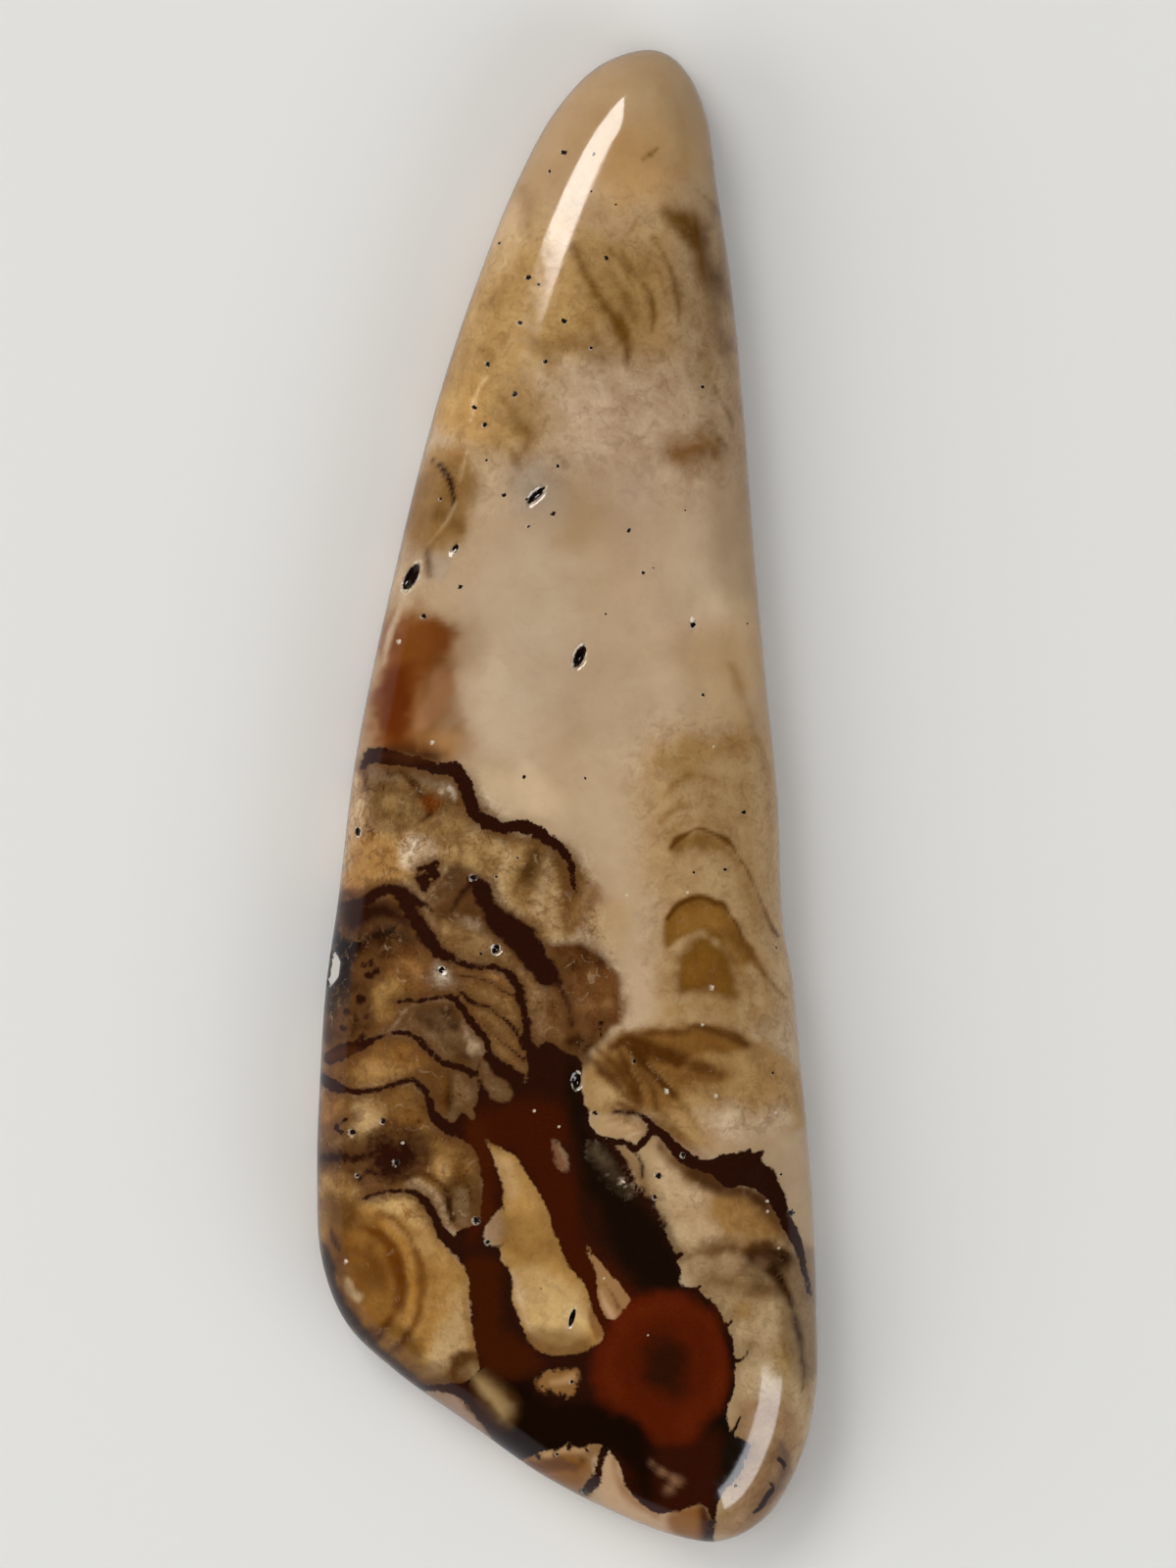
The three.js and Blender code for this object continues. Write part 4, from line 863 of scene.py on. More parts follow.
# Broad differences of tone. The two darkenings along the right shoulder of the narrow end are painted shade.
mark(tint, [
    ([(-3.5, 6), (3, 6.5), (6, 4.6), (4.2, 1), (3.6, -4), (2.6, -5.6), (1.6, -3), (-1, -0.6), (-3, 1)],
     (1.13, 1.15, 1.18), 1.0),
    ([(-1, 17.5), (3.5, 17), (4, 13.5), (3, 10), (-1, 11), (-2, 14)], (0.86, 0.84, 0.82), 1.5),
    # Painted shade: the right shoulder of the narrow end, turned away from the north-west window, made
    # darker
    ([(4.6, 29.5), (6.4, 28), (7.4, 17), (7.9, 8), (6.2, 9), (5.6, 14), (4.6, 19), (4.2, 25)],
     (0.82, 0.8, 0.76), 0.8),
    ([(-2.4, 25), (-0.4, 23), (1.0, 20), (0.6, 17.6), (-1.5, 16.8), (-4.4, 17.5), (-4.6, 14), (-5.8, 14.4),
     (-4, 20.6)], (1.1, 1.13, 1.16), 0.8),
    ([(-4.6, 13.8), (-3.6, 12.8), (-3.6, 11.4), (-4.6, 10), (-6.8, 9.8), (-6.6, 13)],
     (0.72, 0.68, 0.6), 0.5),
    ([(-5.5, 5.6), (-4.6, 5.2), (-4.4, 2.6), (-5.8, 2.4)], (0.8, 0.78, 0.76), 0.4),
    ([(-8.6, -4.4), (-8.2, -6), (-8.4, -12), (-8.6, -16), (-9, -19), (-8.4, -21), (-9.6, -22), (-10.9, -17),
     (-10.6, -9), (-9.6, -4.4)], (0.62, 0.58, 0.52), 0.4),
    ([(-5.0, -4.9), (-4.2, -5.0), (-3.0, -5.9), (-2.0, -7.2), (-3.4, -6.6), (-4.8, -6.2)],
     (0.6, 0.57, 0.52), 0.25),
    ([(-8.2, -7.2), (-6.8, -7.0), (-5.4, -8.2), (-4.2, -8.4), (-4.0, -10.9), (-5.4, -10.4), (-6.4, -9.6),
     (-7.8, -9.8)], (0.74, 0.7, 0.66), 0.25),
    ([(-4.9, -10.8), (-3.6, -10.4), (-3.6, -13.8), (-4.8, -13.6), (-5.6, -12.4), (-6, -11.2)],
     (0.55, 0.52, 0.48), 0.3),
    ([(-8.8, -10.6), (-7.2, -10), (-5.8, -10.4), (-5.2, -11.6), (-5.6, -12.6), (-6.6, -11.8), (-8.4, -12)],
     (0.86, 0.84, 0.8), 0.3),
    ([(-8.8, -12.6), (-5.8, -12.2), (-4.6, -14), (-4.2, -16.8), (-5, -17), (-6.4, -15.8), (-8.6, -16.2)],
     (0.84, 0.8, 0.74), 0.4),
    ([(-0.8, -5.9), (0.6, -5.9), (1.8, -6.6), (1.2, -7.2), (-0.4, -7)], (0.66, 0.62, 0.56), 0.3),
    ([(-1.4, -8.2), (-0.2, -8), (0.4, -9.6), (1.2, -10), (0.6, -10.8), (-1.4, -10.6)],
     (0.55, 0.5, 0.44), 0.3),
    ([(-3.6, 23.5), (-1, 24), (1, 22), (1.2, 18.5), (0.8, 14.4), (-4.8, 14.2), (-4.6, 17)],
     (1.18, 1.2, 1.24), 1.0),
    ([(-4.6, 16.6), (-3.4, 17), (-3.2, 14.6), (-4.8, 14.2)], (1.2, 1.2, 1.2), 0.5),
    ([(1.2, 25), (4, 25.4), (5.6, 23.6), (4.6, 22.6), (2, 22.4)], (1.12, 1.13, 1.15), 0.8),
    # Painted shade: the right rim of the narrow end made darker still
    ([(6.0, 26), (6.8, 25.3), (7.3, 18), (6.5, 19)], (0.78, 0.76, 0.72), 0.4),
    ([(-5, 7), (-3.4, 6.8), (-3.4, 5), (-5, 5)], (0.82, 0.78, 0.74), 0.5),
    ([(5.6, 8), (7.2, 7.6), (7.3, 3.0), (6, 3.0)], (1.25, 1.28, 1.32), 0.8),
    ([(-2, 6.6), (2.6, 5.6), (3, 2.4), (0, 2.2), (-2, 4)], (0.88, 0.87, 0.86), 1.0),
    ([(-3.4, 1), (-0.6, 0.4), (-0.4, -1.0), (-2.2, -0.8), (-3.2, -0.2)], (1.18, 1.2, 1.22), 0.5),
    ([(-7.4, 2.1), (-4.8, 1.9), (-4.9, 1.2), (-7.4, 1.3)], (0.6, 0.54, 0.5), 0.3),
    ([(-8, -1), (-6.4, -1.1), (-6.3, -3.2), (-7.8, -3.4)], (1.06, 1.08, 1.14), 0.4),
    ([(-6.2, -0.7), (-4.5, -0.6), (-3.9, -1.9), (-5.6, -2.0)], (0.64, 0.6, 0.55), 0.3),
    ([(-1.6, -2.2), (-0.5, -2.4), (-0.7, -3.8), (-1.7, -3.8)], (0.6, 0.55, 0.5), 0.2),
    ([(-1.4, -4.0), (0.2, -4.0), (0.2, -5.6), (-1.2, -5.8)], (0.85, 0.82, 0.8), 0.3),
    ([(-9.8, -4.6), (-7.9, -5.0), (-7.2, -6.2), (-8.2, -7.0), (-9.9, -7.2)], (0.34, 0.28, 0.24), 0.6),
    ([(-7.9, -5.2), (-6.6, -5.3), (-6.2, -6.3), (-7.4, -6.7)], (0.5, 0.44, 0.4), 0.3),
    ([(-9.5, -8), (-8, -8.2), (-7.8, -9.6), (-9.6, -9.8)], (0.5, 0.46, 0.42), 0.3),
    ([(-6.2, -8.6), (-4.8, -8.5), (-4.6, -9.6), (-5.8, -9.6)], (0.68, 0.64, 0.6), 0.2),
    ([(-3.2, -7.1), (-2, -7.5), (-1.9, -8.4), (-2.9, -8)], (1.5, 1.5, 1.5), 0.15),
    ([(0.0, -5.4), (1.0, -5.2), (1.4, -6.2), (0.0, -6.4)], (0.72, 0.66, 0.6), 0.25),
    ([(0.0, -9.9), (1, -9.8), (0.9, -11), (0, -11)], (0.5, 0.45, 0.4), 0.2),
    ([(-4.9, -10.9), (-3.5, -10.4), (-3.5, -13.4), (-4.7, -13.2), (-5.0, -12)], (0.5, 0.45, 0.4), 0.25),
    ([(-4.9, -15.6), (-3.5, -15.4), (-3.4, -17.2), (-4.4, -17.6), (-5.0, -16.6)], (0.48, 0.43, 0.38), 0.2),
    ([(-9.7, -18.2), (-8, -18.4), (-7.8, -20.4), (-9.3, -20.4)], (0.7, 0.64, 0.56), 0.4),
    ([(-8.4, -21.6), (-6.8, -21.4), (-5.9, -22.8), (-7.2, -23.6)], (0.52, 0.48, 0.42), 0.35),
    ([(-6.8, -23.2), (-4.6, -23.4), (-3.9, -24.6), (-5.6, -24.8)], (0.5, 0.46, 0.42), 0.3),
])

# The dark river on the right and the pink-grey ground under it
paint(ground, [
    ([(2.6, -14.0), (3.8, -13.9), (5.2, -15.2), (6.6, -15.9), (8.0, -16.3), (9.2, -18.5), (10.3, -21.5),
     (10.3, -28), (7.5, -30), (6.2, -30), (6.4, -26), (6.7, -22), (4.7, -19.5), (3.2, -16.5)],
     (178, 148, 106), 0.12),
    ([(3.4, -14.2), (4.2, -14.6), (5.4, -15.6), (6.2, -16.2), (6.2, -17.8), (5.0, -18.4), (4.2, -17.2),
     (3.4, -15.6)], (186, 154, 114), 0.4),
    ([(6.0, -16.1), (7.6, -16.1), (8.8, -17.8), (8.6, -18.2), (6.6, -17.9), (5.8, -17.0)],
     (156, 114, 62), 0.45),
    ([(3.8, -14.3, 0.3), (4.6, -15.0, 0.5), (5.6, -15.5, 0.7), (6.8, -16.0, 0.8), (7.8, -16.4, 0.8),
     (8.5, -17.2, 0.7), (9.0, -18.2, 0.5)], (96, 60, 24), 0.3, 0.95),
    ([(5.2, -15.3, 0.3), (6.2, -15.9, 0.5), (7.2, -16.1, 0.5), (8.0, -16.6, 0.4)], (62, 34, 14), 0.2, 0.9),
    ([(4.9, -18.75, 0.3), (5.8, -18.5, 0.5), (6.6, -18.3, 0.5), (7.3, -18.45, 0.7), (8.1, -18.5, 0.7),
     (8.7, -18.75, 0.5), (9.1, -18.85, 0.2)], (106, 66, 24), 0.35, 0.95),
    ([(7.3, -18.4), (8.1, -18.1), (8.9, -18.4), (9.0, -19.2), (8.5, -19.5), (7.9, -19.3), (7.3, -19.0)],
     (78, 46, 16), 0.3, 0.9),
    ([(8.2, -18.5, 0.2), (8.6, -18.6, 0.3), (9.0, -18.85, 0.15)], (50, 26, 8), 0.12, 0.95),
    ([(8.0, -19.0, 0.4), (8.6, -19.6, 0.4), (8.95, -20.3, 0.35), (9.25, -21.2, 0.33), (9.45, -22.2, 0.3),
     (9.6, -23.2, 0.24), (9.6, -24.2, 0.14)], (76, 44, 14), 0.16),
    ([(5.2, -19.4, 0.3), (6.2, -19.7, 0.6), (7.2, -19.9, 0.6), (7.9, -20.4, 0.4)], (128, 92, 46), 0.4, 0.7),
    ((8.1, -20.2, 0.4), (150, 112, 66), 0.4, 0.8),
    ((7.2, -20.9, 0.3), (156, 120, 68), 0.4, 0.8),
    ((8.8, -22.9, 0.5, 1.4), (152, 115, 62), 0.5, 0.8),
    ((7.0, -19.05, 0.3), (170, 134, 96), 0.25, 0.8),
    ((7.9, -19.0, 0.25), (162, 124, 90), 0.2, 0.8),
    ((6.35, -18.75, 0.14), (190, 154, 112), 0.08, 0.9),
    ([(7.0, -24.5), (9.2, -25), (9.3, -28), (7.5, -30.2), (6.2, -29.8), (7.0, -27.8)], (160, 124, 86), 0.5),
    # Painted reflection: a dark grey-brown band along the outer edge of the south-east window's reflection
    ([(8.7, -26.4, 0.2), (8.9, -27.1, 0.5), (8.7, -27.9, 0.5), (8.2, -28.8, 0.4)], (98, 74, 60), 0.3, 0.9),
])
mark(ink, [
    ([(2.9, -12.93), (3.2, -12.98), (3.5, -13.25), (3.8, -13.5), (4.15, -13.75), (4.5, -14.1), (4.9, -14.4),
     (5.25, -14.68), (5.6, -14.8), (5.9, -14.75), (6.15, -14.6), (6.6, -14.55), (7.0, -14.5),
     (7.35, -14.42), (7.5, -14.5), (7.8, -14.42), (7.95, -14.35), (8.0, -14.55), (7.92, -14.75),
     (8.1, -14.98), (8.4, -15.2), (8.55, -15.5), (8.68, -15.85), (8.85, -16.3), (9.0, -16.9),
     (9.25, -17.35), (9.5, -17.9), (9.68, -18.6), (9.8, -19.4), (9.9, -20.4), (9.75, -20.3), (9.6, -19.5),
     (9.35, -18.8), (9.0, -18.0), (8.7, -17.4), (8.4, -16.9), (8.15, -16.45), (7.7, -16.1), (7.2, -15.88),
     (6.7, -15.95), (6.3, -15.85), (6.0, -15.6), (5.7, -15.4), (5.3, -15.25), (4.9, -15.1), (4.55, -14.85),
     (4.2, -14.45), (3.9, -14.1), (3.6, -13.88), (3.25, -13.8), (3.3, -13.5), (3.1, -13.2)], 0.045),
    ([(1.9, -12.85, 0.1), (2.4, -12.85, 0.16), (2.9, -12.98, 0.14)], 0.1),
    ([(1.3, -13.85, 0.2), (1.9, -14.05, 0.3), (2.4, -14.1, 0.3), (2.75, -14.35, 0.3), (3.05, -14.1, 0.3),
     (3.35, -13.75, 0.3)], 0.05),
])

# The great flow: a red-brown and black stream down the middle, pooling round the orb
paint(ground, [
    ([(-3.7, -10.4), (-2.9, -11.2), (-2.0, -11.6), (-2.0, -12.6), (-3.3, -12.5), (-3.7, -11.4)],
     (116, 90, 60), 0.2),
    ([(-3.3, -13.9), (-1.9, -14.6), (-0.6, -16.8), (0.4, -19.0), (1.6, -21.8), (0.6, -22.9), (-1.4, -22.6),
     (-2.4, -20), (-2.9, -18), (-2.8, -15.2)], (180, 136, 74), 0.15),
    ([(-2.9, -14.5), (-2.2, -14.9), (-1.9, -16.2), (-2.4, -16.8), (-2.7, -15.6)], (194, 154, 102), 0.25),
    ([(-2.4, -19.4), (-1.0, -19.2), (0.4, -20.0), (0.9, -21.4), (0.4, -22.5), (-1.2, -22.4), (-2.0, -20.9)],
     (200, 163, 106), 0.4),
    ([(-2.25, -19.4, 0.2), (-1.95, -20.2, 0.35), (-1.75, -21.2, 0.3), (-1.3, -22.0, 0.2)],
     (216, 182, 136), 0.2, 0.85),
    ([(-1.7, -21.9, 0.15), (-1.0, -22.3, 0.3), (0.0, -22.45, 0.3), (0.8, -22.2, 0.25)],
     (174, 128, 74), 0.2, 0.8),
    ([(0.9, -20.9), (1.3, -21.4), (1.55, -21.85), (1.2, -22.1), (0.95, -21.6)], (146, 100, 54), 0.1),
    ([(-3.4, -17.5), (-2.8, -16.8), (-2.55, -17.4), (-2.8, -18.3), (-3.3, -18.2)], (160, 128, 94), 0.15),
    ([(0.8, -18.2), (1.7, -19.2), (2.8, -20.5), (1.9, -21.5), (1.0, -20.5), (0.9, -19.2)],
     (158, 116, 72), 0.1),
    ([(1.35, -20.1, 0.15), (1.55, -20.7, 0.3), (1.8, -21.1, 0.25)], (198, 156, 116), 0.14),
    ([(1.5, -19.75, 0.06), (1.8, -20.2, 0.1), (2.1, -20.8, 0.1)], (104, 66, 34), 0.08, 0.8),
    ([(3.0, -16.5), (3.8, -16.9), (4.5, -18.1), (4.8, -19.0), (4.2, -18.8), (3.5, -17.6)],
     (124, 100, 70), 0.15),
])
mark(ink, [
    ([(-4.4, -13.0), (-3.7, -12.6), (-3.6, -11.0), (-3.2, -10.4), (-2.6, -11.1), (-1.6, -11.6),
     (-1.6, -10.4), (-1.3, -10.4), (-0.9, -10.0), (-0.2, -10.3), (0.4, -10.6), (0.6, -10.9), (0.65, -11.2),
     (0.6, -12.0), (0.75, -12.2), (0.68, -12.5), (0.88, -12.75), (0.88, -13.15), (1.05, -13.5),
     (1.4, -13.8), (1.75, -14.05), (2.1, -14.5), (2.4, -15.1), (2.8, -15.9), (3.2, -16.3), (3.5, -16.7),
     (3.7, -17.2), (4.0, -17.7), (4.25, -18.2), (4.45, -18.8), (4.65, -19.3), (4.6, -19.8), (4.9, -19.98),
     (5.3, -20.0), (5.6, -20.35), (5.95, -20.6), (6.3, -21.2), (6.6, -21.7), (6.78, -22.2), (6.82, -23.0),
     (6.82, -23.8), (6.7, -24.5), (6.5, -25.0), (6.55, -25.5), (6.8, -25.95), (7.2, -26.15), (7.42, -26.4),
     (7.25, -27.0), (6.95, -27.65), (6.5, -28.2), (6.15, -28.7), (6.1, -29.4), (6.02, -30.0), (5.9, -30.6),
     (5.5, -30.6), (5.75, -29.8), (5.8, -29.2), (5.5, -28.85), (4.9, -28.95), (4.3, -29.18), (3.7, -29.22),
     (3.1, -28.9), (2.6, -28.35), (2.25, -27.7), (2.15, -27.2), (1.9, -26.8), (1.6, -26.5), (1.2, -26.35),
     (0.7, -26.5), (0.3, -26.5), (0.1, -26.3), (-0.1, -26.45), (-0.4, -26.6), (-1.0, -26.7), (-1.5, -26.98),
     (-1.9, -27.2), (-2.9, -26.5), (-3.3, -25.8), (-3.75, -25.2), (-4.1, -24.7), (-4.6, -24.4),
     (-5.2, -24.27), (-5.9, -24.3), (-6.2, -24.1), (-5.4, -23.97), (-4.8, -23.88), (-4.1, -23.8),
     (-3.6, -23.3), (-3.7, -22.4), (-3.85, -21.4), (-3.95, -20.2), (-4.1, -19.3), (-4.5, -18.6),
     (-4.6, -17.9), (-4.0, -17.5), (-3.6, -17.4), (-3.5, -16.8), (-3.4, -15.9), (-3.5, -15.0),
     (-3.9, -14.2), (-4.5, -13.8)], 0.05),
])
mark(clear, [
    ([(-3.5, -10.6), (-3.25, -10.8), (-3.0, -11.4), (-2.4, -11.7), (-2.15, -12.1), (-2.5, -12.45),
     (-3.0, -12.35), (-3.35, -11.9), (-3.55, -11.2)], 0.1),
    ([(-3.3, -13.95), (-2.9, -14.2), (-2.5, -14.4), (-2.1, -14.6), (-1.9, -15.0), (-1.5, -15.6),
     (-1.1, -16.2), (-0.8, -16.85), (-0.6, -17.4), (-0.35, -18.2), (0.0, -18.9), (0.4, -19.5),
     (0.75, -20.0), (0.9, -20.5), (1.02, -21.0), (1.3, -21.5), (1.5, -21.85), (1.25, -22.25),
     (0.85, -22.52), (0.3, -22.7), (-0.4, -22.74), (-1.0, -22.6), (-1.4, -22.3), (-1.7, -21.9),
     (-1.9, -21.4), (-2.1, -20.8), (-2.2, -20.2), (-2.25, -19.6), (-2.4, -19.2), (-2.62, -18.95),
     (-2.72, -18.6), (-2.6, -18.0), (-2.55, -17.2), (-2.6, -16.6), (-2.6, -16.0), (-2.72, -15.4),
     (-2.9, -14.9), (-3.05, -14.4)], 0.06),
    ([(-3.35, -17.6), (-3.1, -17.2), (-2.8, -16.85), (-2.5, -16.8), (-2.5, -17.9), (-2.7, -18.25),
     (-3.1, -18.3), (-3.35, -18.0)], 0.07),
    ([(0.85, -18.25), (1.05, -18.6), (1.35, -18.95), (1.75, -19.4), (2.1, -19.8), (2.4, -20.2),
     (2.6, -20.5), (2.5, -20.75), (2.2, -21.02), (1.95, -21.28), (1.65, -21.22), (1.4, -20.9),
     (1.22, -20.4), (1.2, -19.8), (1.1, -19.3), (0.92, -18.8)], 0.05),
])
paint(dark, [
    ([(-3.9, -13.2), (-1.8, -12.2), (0.0, -12.8), (0.3, -15.5), (0.6, -18.0), (2.4, -19.6), (2.9, -20.6),
     (1.0, -21.8), (-0.2, -19), (-1.2, -16.5), (-2.3, -14.6), (-3.0, -17.4), (-4.2, -18.4), (-3.6, -15.2)],
     (62, 20, 3), 0.5),
    ([(0.2, -11.0), (0.9, -13.2), (2.4, -15.6), (3.8, -17.4), (4.9, -19.9), (3.0, -20.0), (2.0, -18.4),
     (0.9, -16.2), (0.1, -13.4)], (24, 13, 5), 0.4),
    ([(1.2, -22.2), (2.4, -20.6), (4.0, -20.1), (5.6, -20.6), (6.6, -22.0), (6.8, -23.4), (6.4, -25.0),
     (5.4, -26.2), (4.0, -26.5), (2.2, -26.0), (1.2, -24.8)], (82, 25, 4), 0.3),
    ([(5.5, -20.4, 0.2), (6.3, -21.5, 0.35), (6.7, -22.8, 0.4), (6.65, -24.2, 0.35), (6.4, -25.4, 0.4)],
     (24, 12, 4), 0.15, 0.9),
    ([(2.0, -24.6, 0.4), (1.7, -23.2, 0.4), (2.5, -21.3, 0.5), (4.0, -20.7, 0.5), (5.6, -21.3, 0.5),
     (6.2, -22.8, 0.4), (6.0, -24.4, 0.4), (4.8, -25.6, 0.5)], (96, 33, 6), 0.5, 0.7),
    ([(3.2, -22.2), (3.9, -21.7), (4.7, -22.0), (5.0, -22.9), (4.8, -24.0), (4.1, -24.5), (3.3, -24.1),
     (3.0, -23.2)], (44, 18, 5), 0.5, 0.95),
    ([(5.6, -25.6), (6.6, -25.0), (7.5, -26.3), (6.6, -28.2), (6.1, -28.8), (5.7, -27.4)],
     (22, 13, 5), 0.5),
    ([(2.2, -26.0), (3.2, -26.4), (4.2, -26.5), (5.2, -26.3), (6.1, -25.8), (6.2, -27.2), (5.8, -28.9),
     (3.6, -29.2), (2.5, -28.2)], (50, 17, 5), 0.35),
    ([(-2.4, -23.2), (-0.6, -24.6), (1.6, -24.6), (3.6, -26.8), (3.2, -28.6), (1.8, -26.6), (-1.6, -27.0),
     (-2.9, -26.2)], (22, 9, 3), 0.5),
    ([(-4.0, -18.6), (-2.8, -18.8), (-2.4, -21.6), (-1.0, -23.0), (-2.6, -23.6), (-3.8, -22.2)],
     (60, 22, 3), 0.35),
    ([(-3.9, -13.2), (-3.2, -13.4), (-2.9, -16.0), (-3.2, -17.6), (-3.7, -17.0), (-3.6, -15.0)],
     (66, 24, 4), 0.3),
])

# Pale pieces caught in the flow, and the pointed slips at its left bank
paint(ground, [
    ([(-4.5, -11.1), (-4.0, -11.8), (-3.7, -13.0), (-4.2, -13.0), (-4.6, -12.2)], (122, 90, 56), 0.15),
    ([(-0.6, -13.9), (0.0, -14.6), (0.1, -15.4), (-0.5, -15.0)], (126, 84, 58), 0.15),
    ([(-1.4, -24.0), (-0.6, -23.2), (0.6, -23.2), (0.3, -24.6), (-1.0, -24.4)], (138, 96, 52), 0.12),
    ([(-0.6, -23.8, 0.1), (-0.1, -23.75, 0.2), (0.3, -23.6, 0.15)], (176, 136, 90), 0.12),
])
mark(clear, [
    ([(-4.42, -11.15), (-4.15, -11.5), (-4.0, -12.0), (-3.82, -12.6), (-3.7, -13.0), (-3.85, -13.15),
     (-4.2, -12.8), (-4.45, -12.2), (-4.55, -11.6)], 0.05),
    ([(-0.52, -14.0), (-0.25, -14.3), (0.0, -14.8), (0.02, -15.25), (-0.25, -15.15), (-0.45, -14.7)], 0.12),
    ([(-1.25, -23.85), (-1.0, -23.5), (-0.6, -23.35), (-0.1, -23.4), (0.4, -23.3), (0.5, -23.65),
     (0.35, -24.15), (0.08, -24.48), (-0.05, -24.25), (-0.3, -24.38), (-0.52, -24.15), (-0.65, -24.0),
     (-0.8, -24.12), (-1.1, -24.1)], 0.12, 2.0),
])
for at_x, at_y, size in (
    (-0.65, -24.05, 0.06), (-0.3, -24.25, 0.07), (-1.0, -23.95, 0.05), (0.35, -23.85, 0.06),
):
    ink(spot(at_x, at_y, size), 0.03)
paint(ground, [
    ([(-4.0, -23.4), (-3.0, -23.4), (-2.0, -24.6), (-2.1, -25.7), (-3.2, -25.4), (-3.8, -24.4)],
     (96, 62, 24), 0.15),
    ([(-4.6, -22.8), (-2.6, -22.8), (-1.1, -24.2), (-1.2, -26.4), (-3.4, -26.2), (-4.5, -24.9)],
     (84, 52, 20), 0.15),
    ([(-3.8, -23.5, 0.3), (-3.1, -24.4, 0.7), (-2.55, -25.2, 0.7)], (156, 128, 84), 0.4),
    ([(-6.2, -24.2), (-4.8, -24.3), (-3.8, -25.2), (-3.0, -26.4), (-4.6, -25.8)], (150, 122, 98), 0.15),
    ([(-1.9, -27.2), (-0.8, -26.6), (0.1, -26.2), (1.0, -26.3), (1.7, -26.4), (1.1, -27.0), (1.0, -28.6),
     (-0.8, -28.2)], (138, 102, 64), 0.12),
    ([(-1.5, -27.1), (-0.6, -27.0), (0.3, -26.9), (0.9, -27.3), (0.6, -27.9), (-0.6, -27.9)],
     (128, 82, 34), 0.25, 0.9),
    ([(-1.5, -27.3, 0.2), (-0.9, -27.35, 0.3), (-0.2, -27.25, 0.3), (0.4, -27.3, 0.2), (0.8, -27.0, 0.1)],
     (94, 54, 18), 0.12, 0.9),
    ([(-0.9, -26.85, 0.15), (-0.1, -26.6, 0.2), (0.8, -26.6, 0.2)], (190, 150, 104), 0.12, 0.8),
])
mark(clear, [
    ([(-3.9, -23.6), (-3.4, -23.45), (-2.9, -23.75), (-2.5, -24.15), (-2.15, -24.6), (-2.08, -25.2),
     (-2.35, -25.6), (-2.8, -25.5), (-3.15, -25.1), (-3.4, -24.7), (-3.65, -24.2)], 0.42, 0.6),
])
for points in (
    [(1.75, -26.3, 0.4), (1.5, -26.7, 0.4), (1.3, -27.2, 0.3), (1.2, -27.7, 0.4), (1.05, -28.1, 0.5),
     (0.7, -28.4, 0.35)],
    [(0.15, -26.3, 0.16), (0.05, -26.7, 0.08)],
    [(-0.5, -26.5, 0.16), (-0.55, -26.85, 0.08)],
    [(0.75, -26.4, 0.16), (0.85, -26.75, 0.08)],
    [(-1.2, -26.8, 0.16), (-1.1, -27.1, 0.08)],
):
    ink(stroke(points), 0.06, 1.5)
for at_x, at_y, size in (
    (-0.3, -27.1, 0.16), (0.3, -27.4, 0.14), (-0.9, -27.2, 0.12), (0.6, -27.0, 0.12),
):
    lay(ground, spot(at_x, at_y, size), (98, 60, 26), 0.12, 0.8)
paint(ground, [
    ([(1.5, -27.0), (1.9, -26.8), (2.2, -27.4), (2.6, -28.3), (3.4, -29.0), (4.4, -29.1), (5.4, -28.8),
     (5.8, -29.2), (5.9, -30.6), (3.5, -30.6), (1.5, -29.4), (1.4, -28.0)], (190, 156, 120), 0.12),
    ([(4.2, -29.2), (5.4, -28.9), (5.9, -29.3), (5.7, -30.6), (4.6, -30.4)], (136, 90, 44), 0.3),
    ([(1.9, -27.0, 0.3), (2.1, -27.8, 0.3), (2.7, -28.7, 0.3), (3.6, -29.3, 0.2)],
     (146, 106, 64), 0.2, 0.8),
    ([(5.6, -29.0, 0.2), (5.75, -29.7, 0.4), (5.6, -30.4, 0.5)], (60, 28, 10), 0.2),
])
for at_x, at_y, size in (
    (3.5, -27.15, 0.12), (3.9, -27.5, 0.18), (4.35, -27.75, 0.22), (4.1, -28.2, 0.1),
):
    lay(dark, spot(at_x, at_y, size), (142, 102, 72), 0.2, 0.8)

# Grey mottled strips at the flow's right bank
paint(ground, [
    ([(0.8, -14.0), (2.0, -14.5), (2.9, -16.3), (1.8, -16.1), (0.9, -15.2)], (62, 48, 34), 0.2),
    ([(0.9, -14.2), (1.5, -14.3), (1.8, -14.9), (1.3, -15.1), (0.9, -14.8)], (84, 68, 48), 0.3, 0.9),
])
mark(clear, [
    ([(1.1, -14.4, 0.4), (1.6, -15.0, 0.5), (2.1, -15.6, 0.45), (2.5, -16.0, 0.2)], 0.35, 2.5),
])
for at_x, at_y, size in (
    (2.25, -15.55, 0.1), (2.15, -15.75, 0.06), (1.6, -15.4, 0.05), (2.4, -15.85, 0.05),
):
    lay(ground, spot(at_x, at_y, size), (206, 186, 158), 0.06, 0.9)
paint(ground, [
    ([(2.0, -14.2), (2.7, -14.5), (3.3, -15.8), (3.2, -16.3), (2.6, -15.4)], (146, 114, 76), 0.12),
])
mark(clear, [
    ([(1.95, -14.3), (2.5, -14.5), (3.0, -15.2), (3.3, -16.0), (3.0, -16.1), (2.5, -15.3)], 0.08),
])
mark(ink, [
    ([(1.7, -14.2, 0.2), (2.2, -14.75, 0.26), (2.6, -15.4, 0.26), (2.85, -16.0, 0.26)], 0.08),
    ([(3.1, -15.9, 0.1), (3.35, -16.4, 0.3), (3.6, -16.9, 0.3), (3.9, -17.5, 0.2)], 0.12, 1.5),
    ([(2.75, -14.45, 0.15), (3.0, -14.9, 0.1), (3.1, -15.5, 0.06)], 0.12),
])
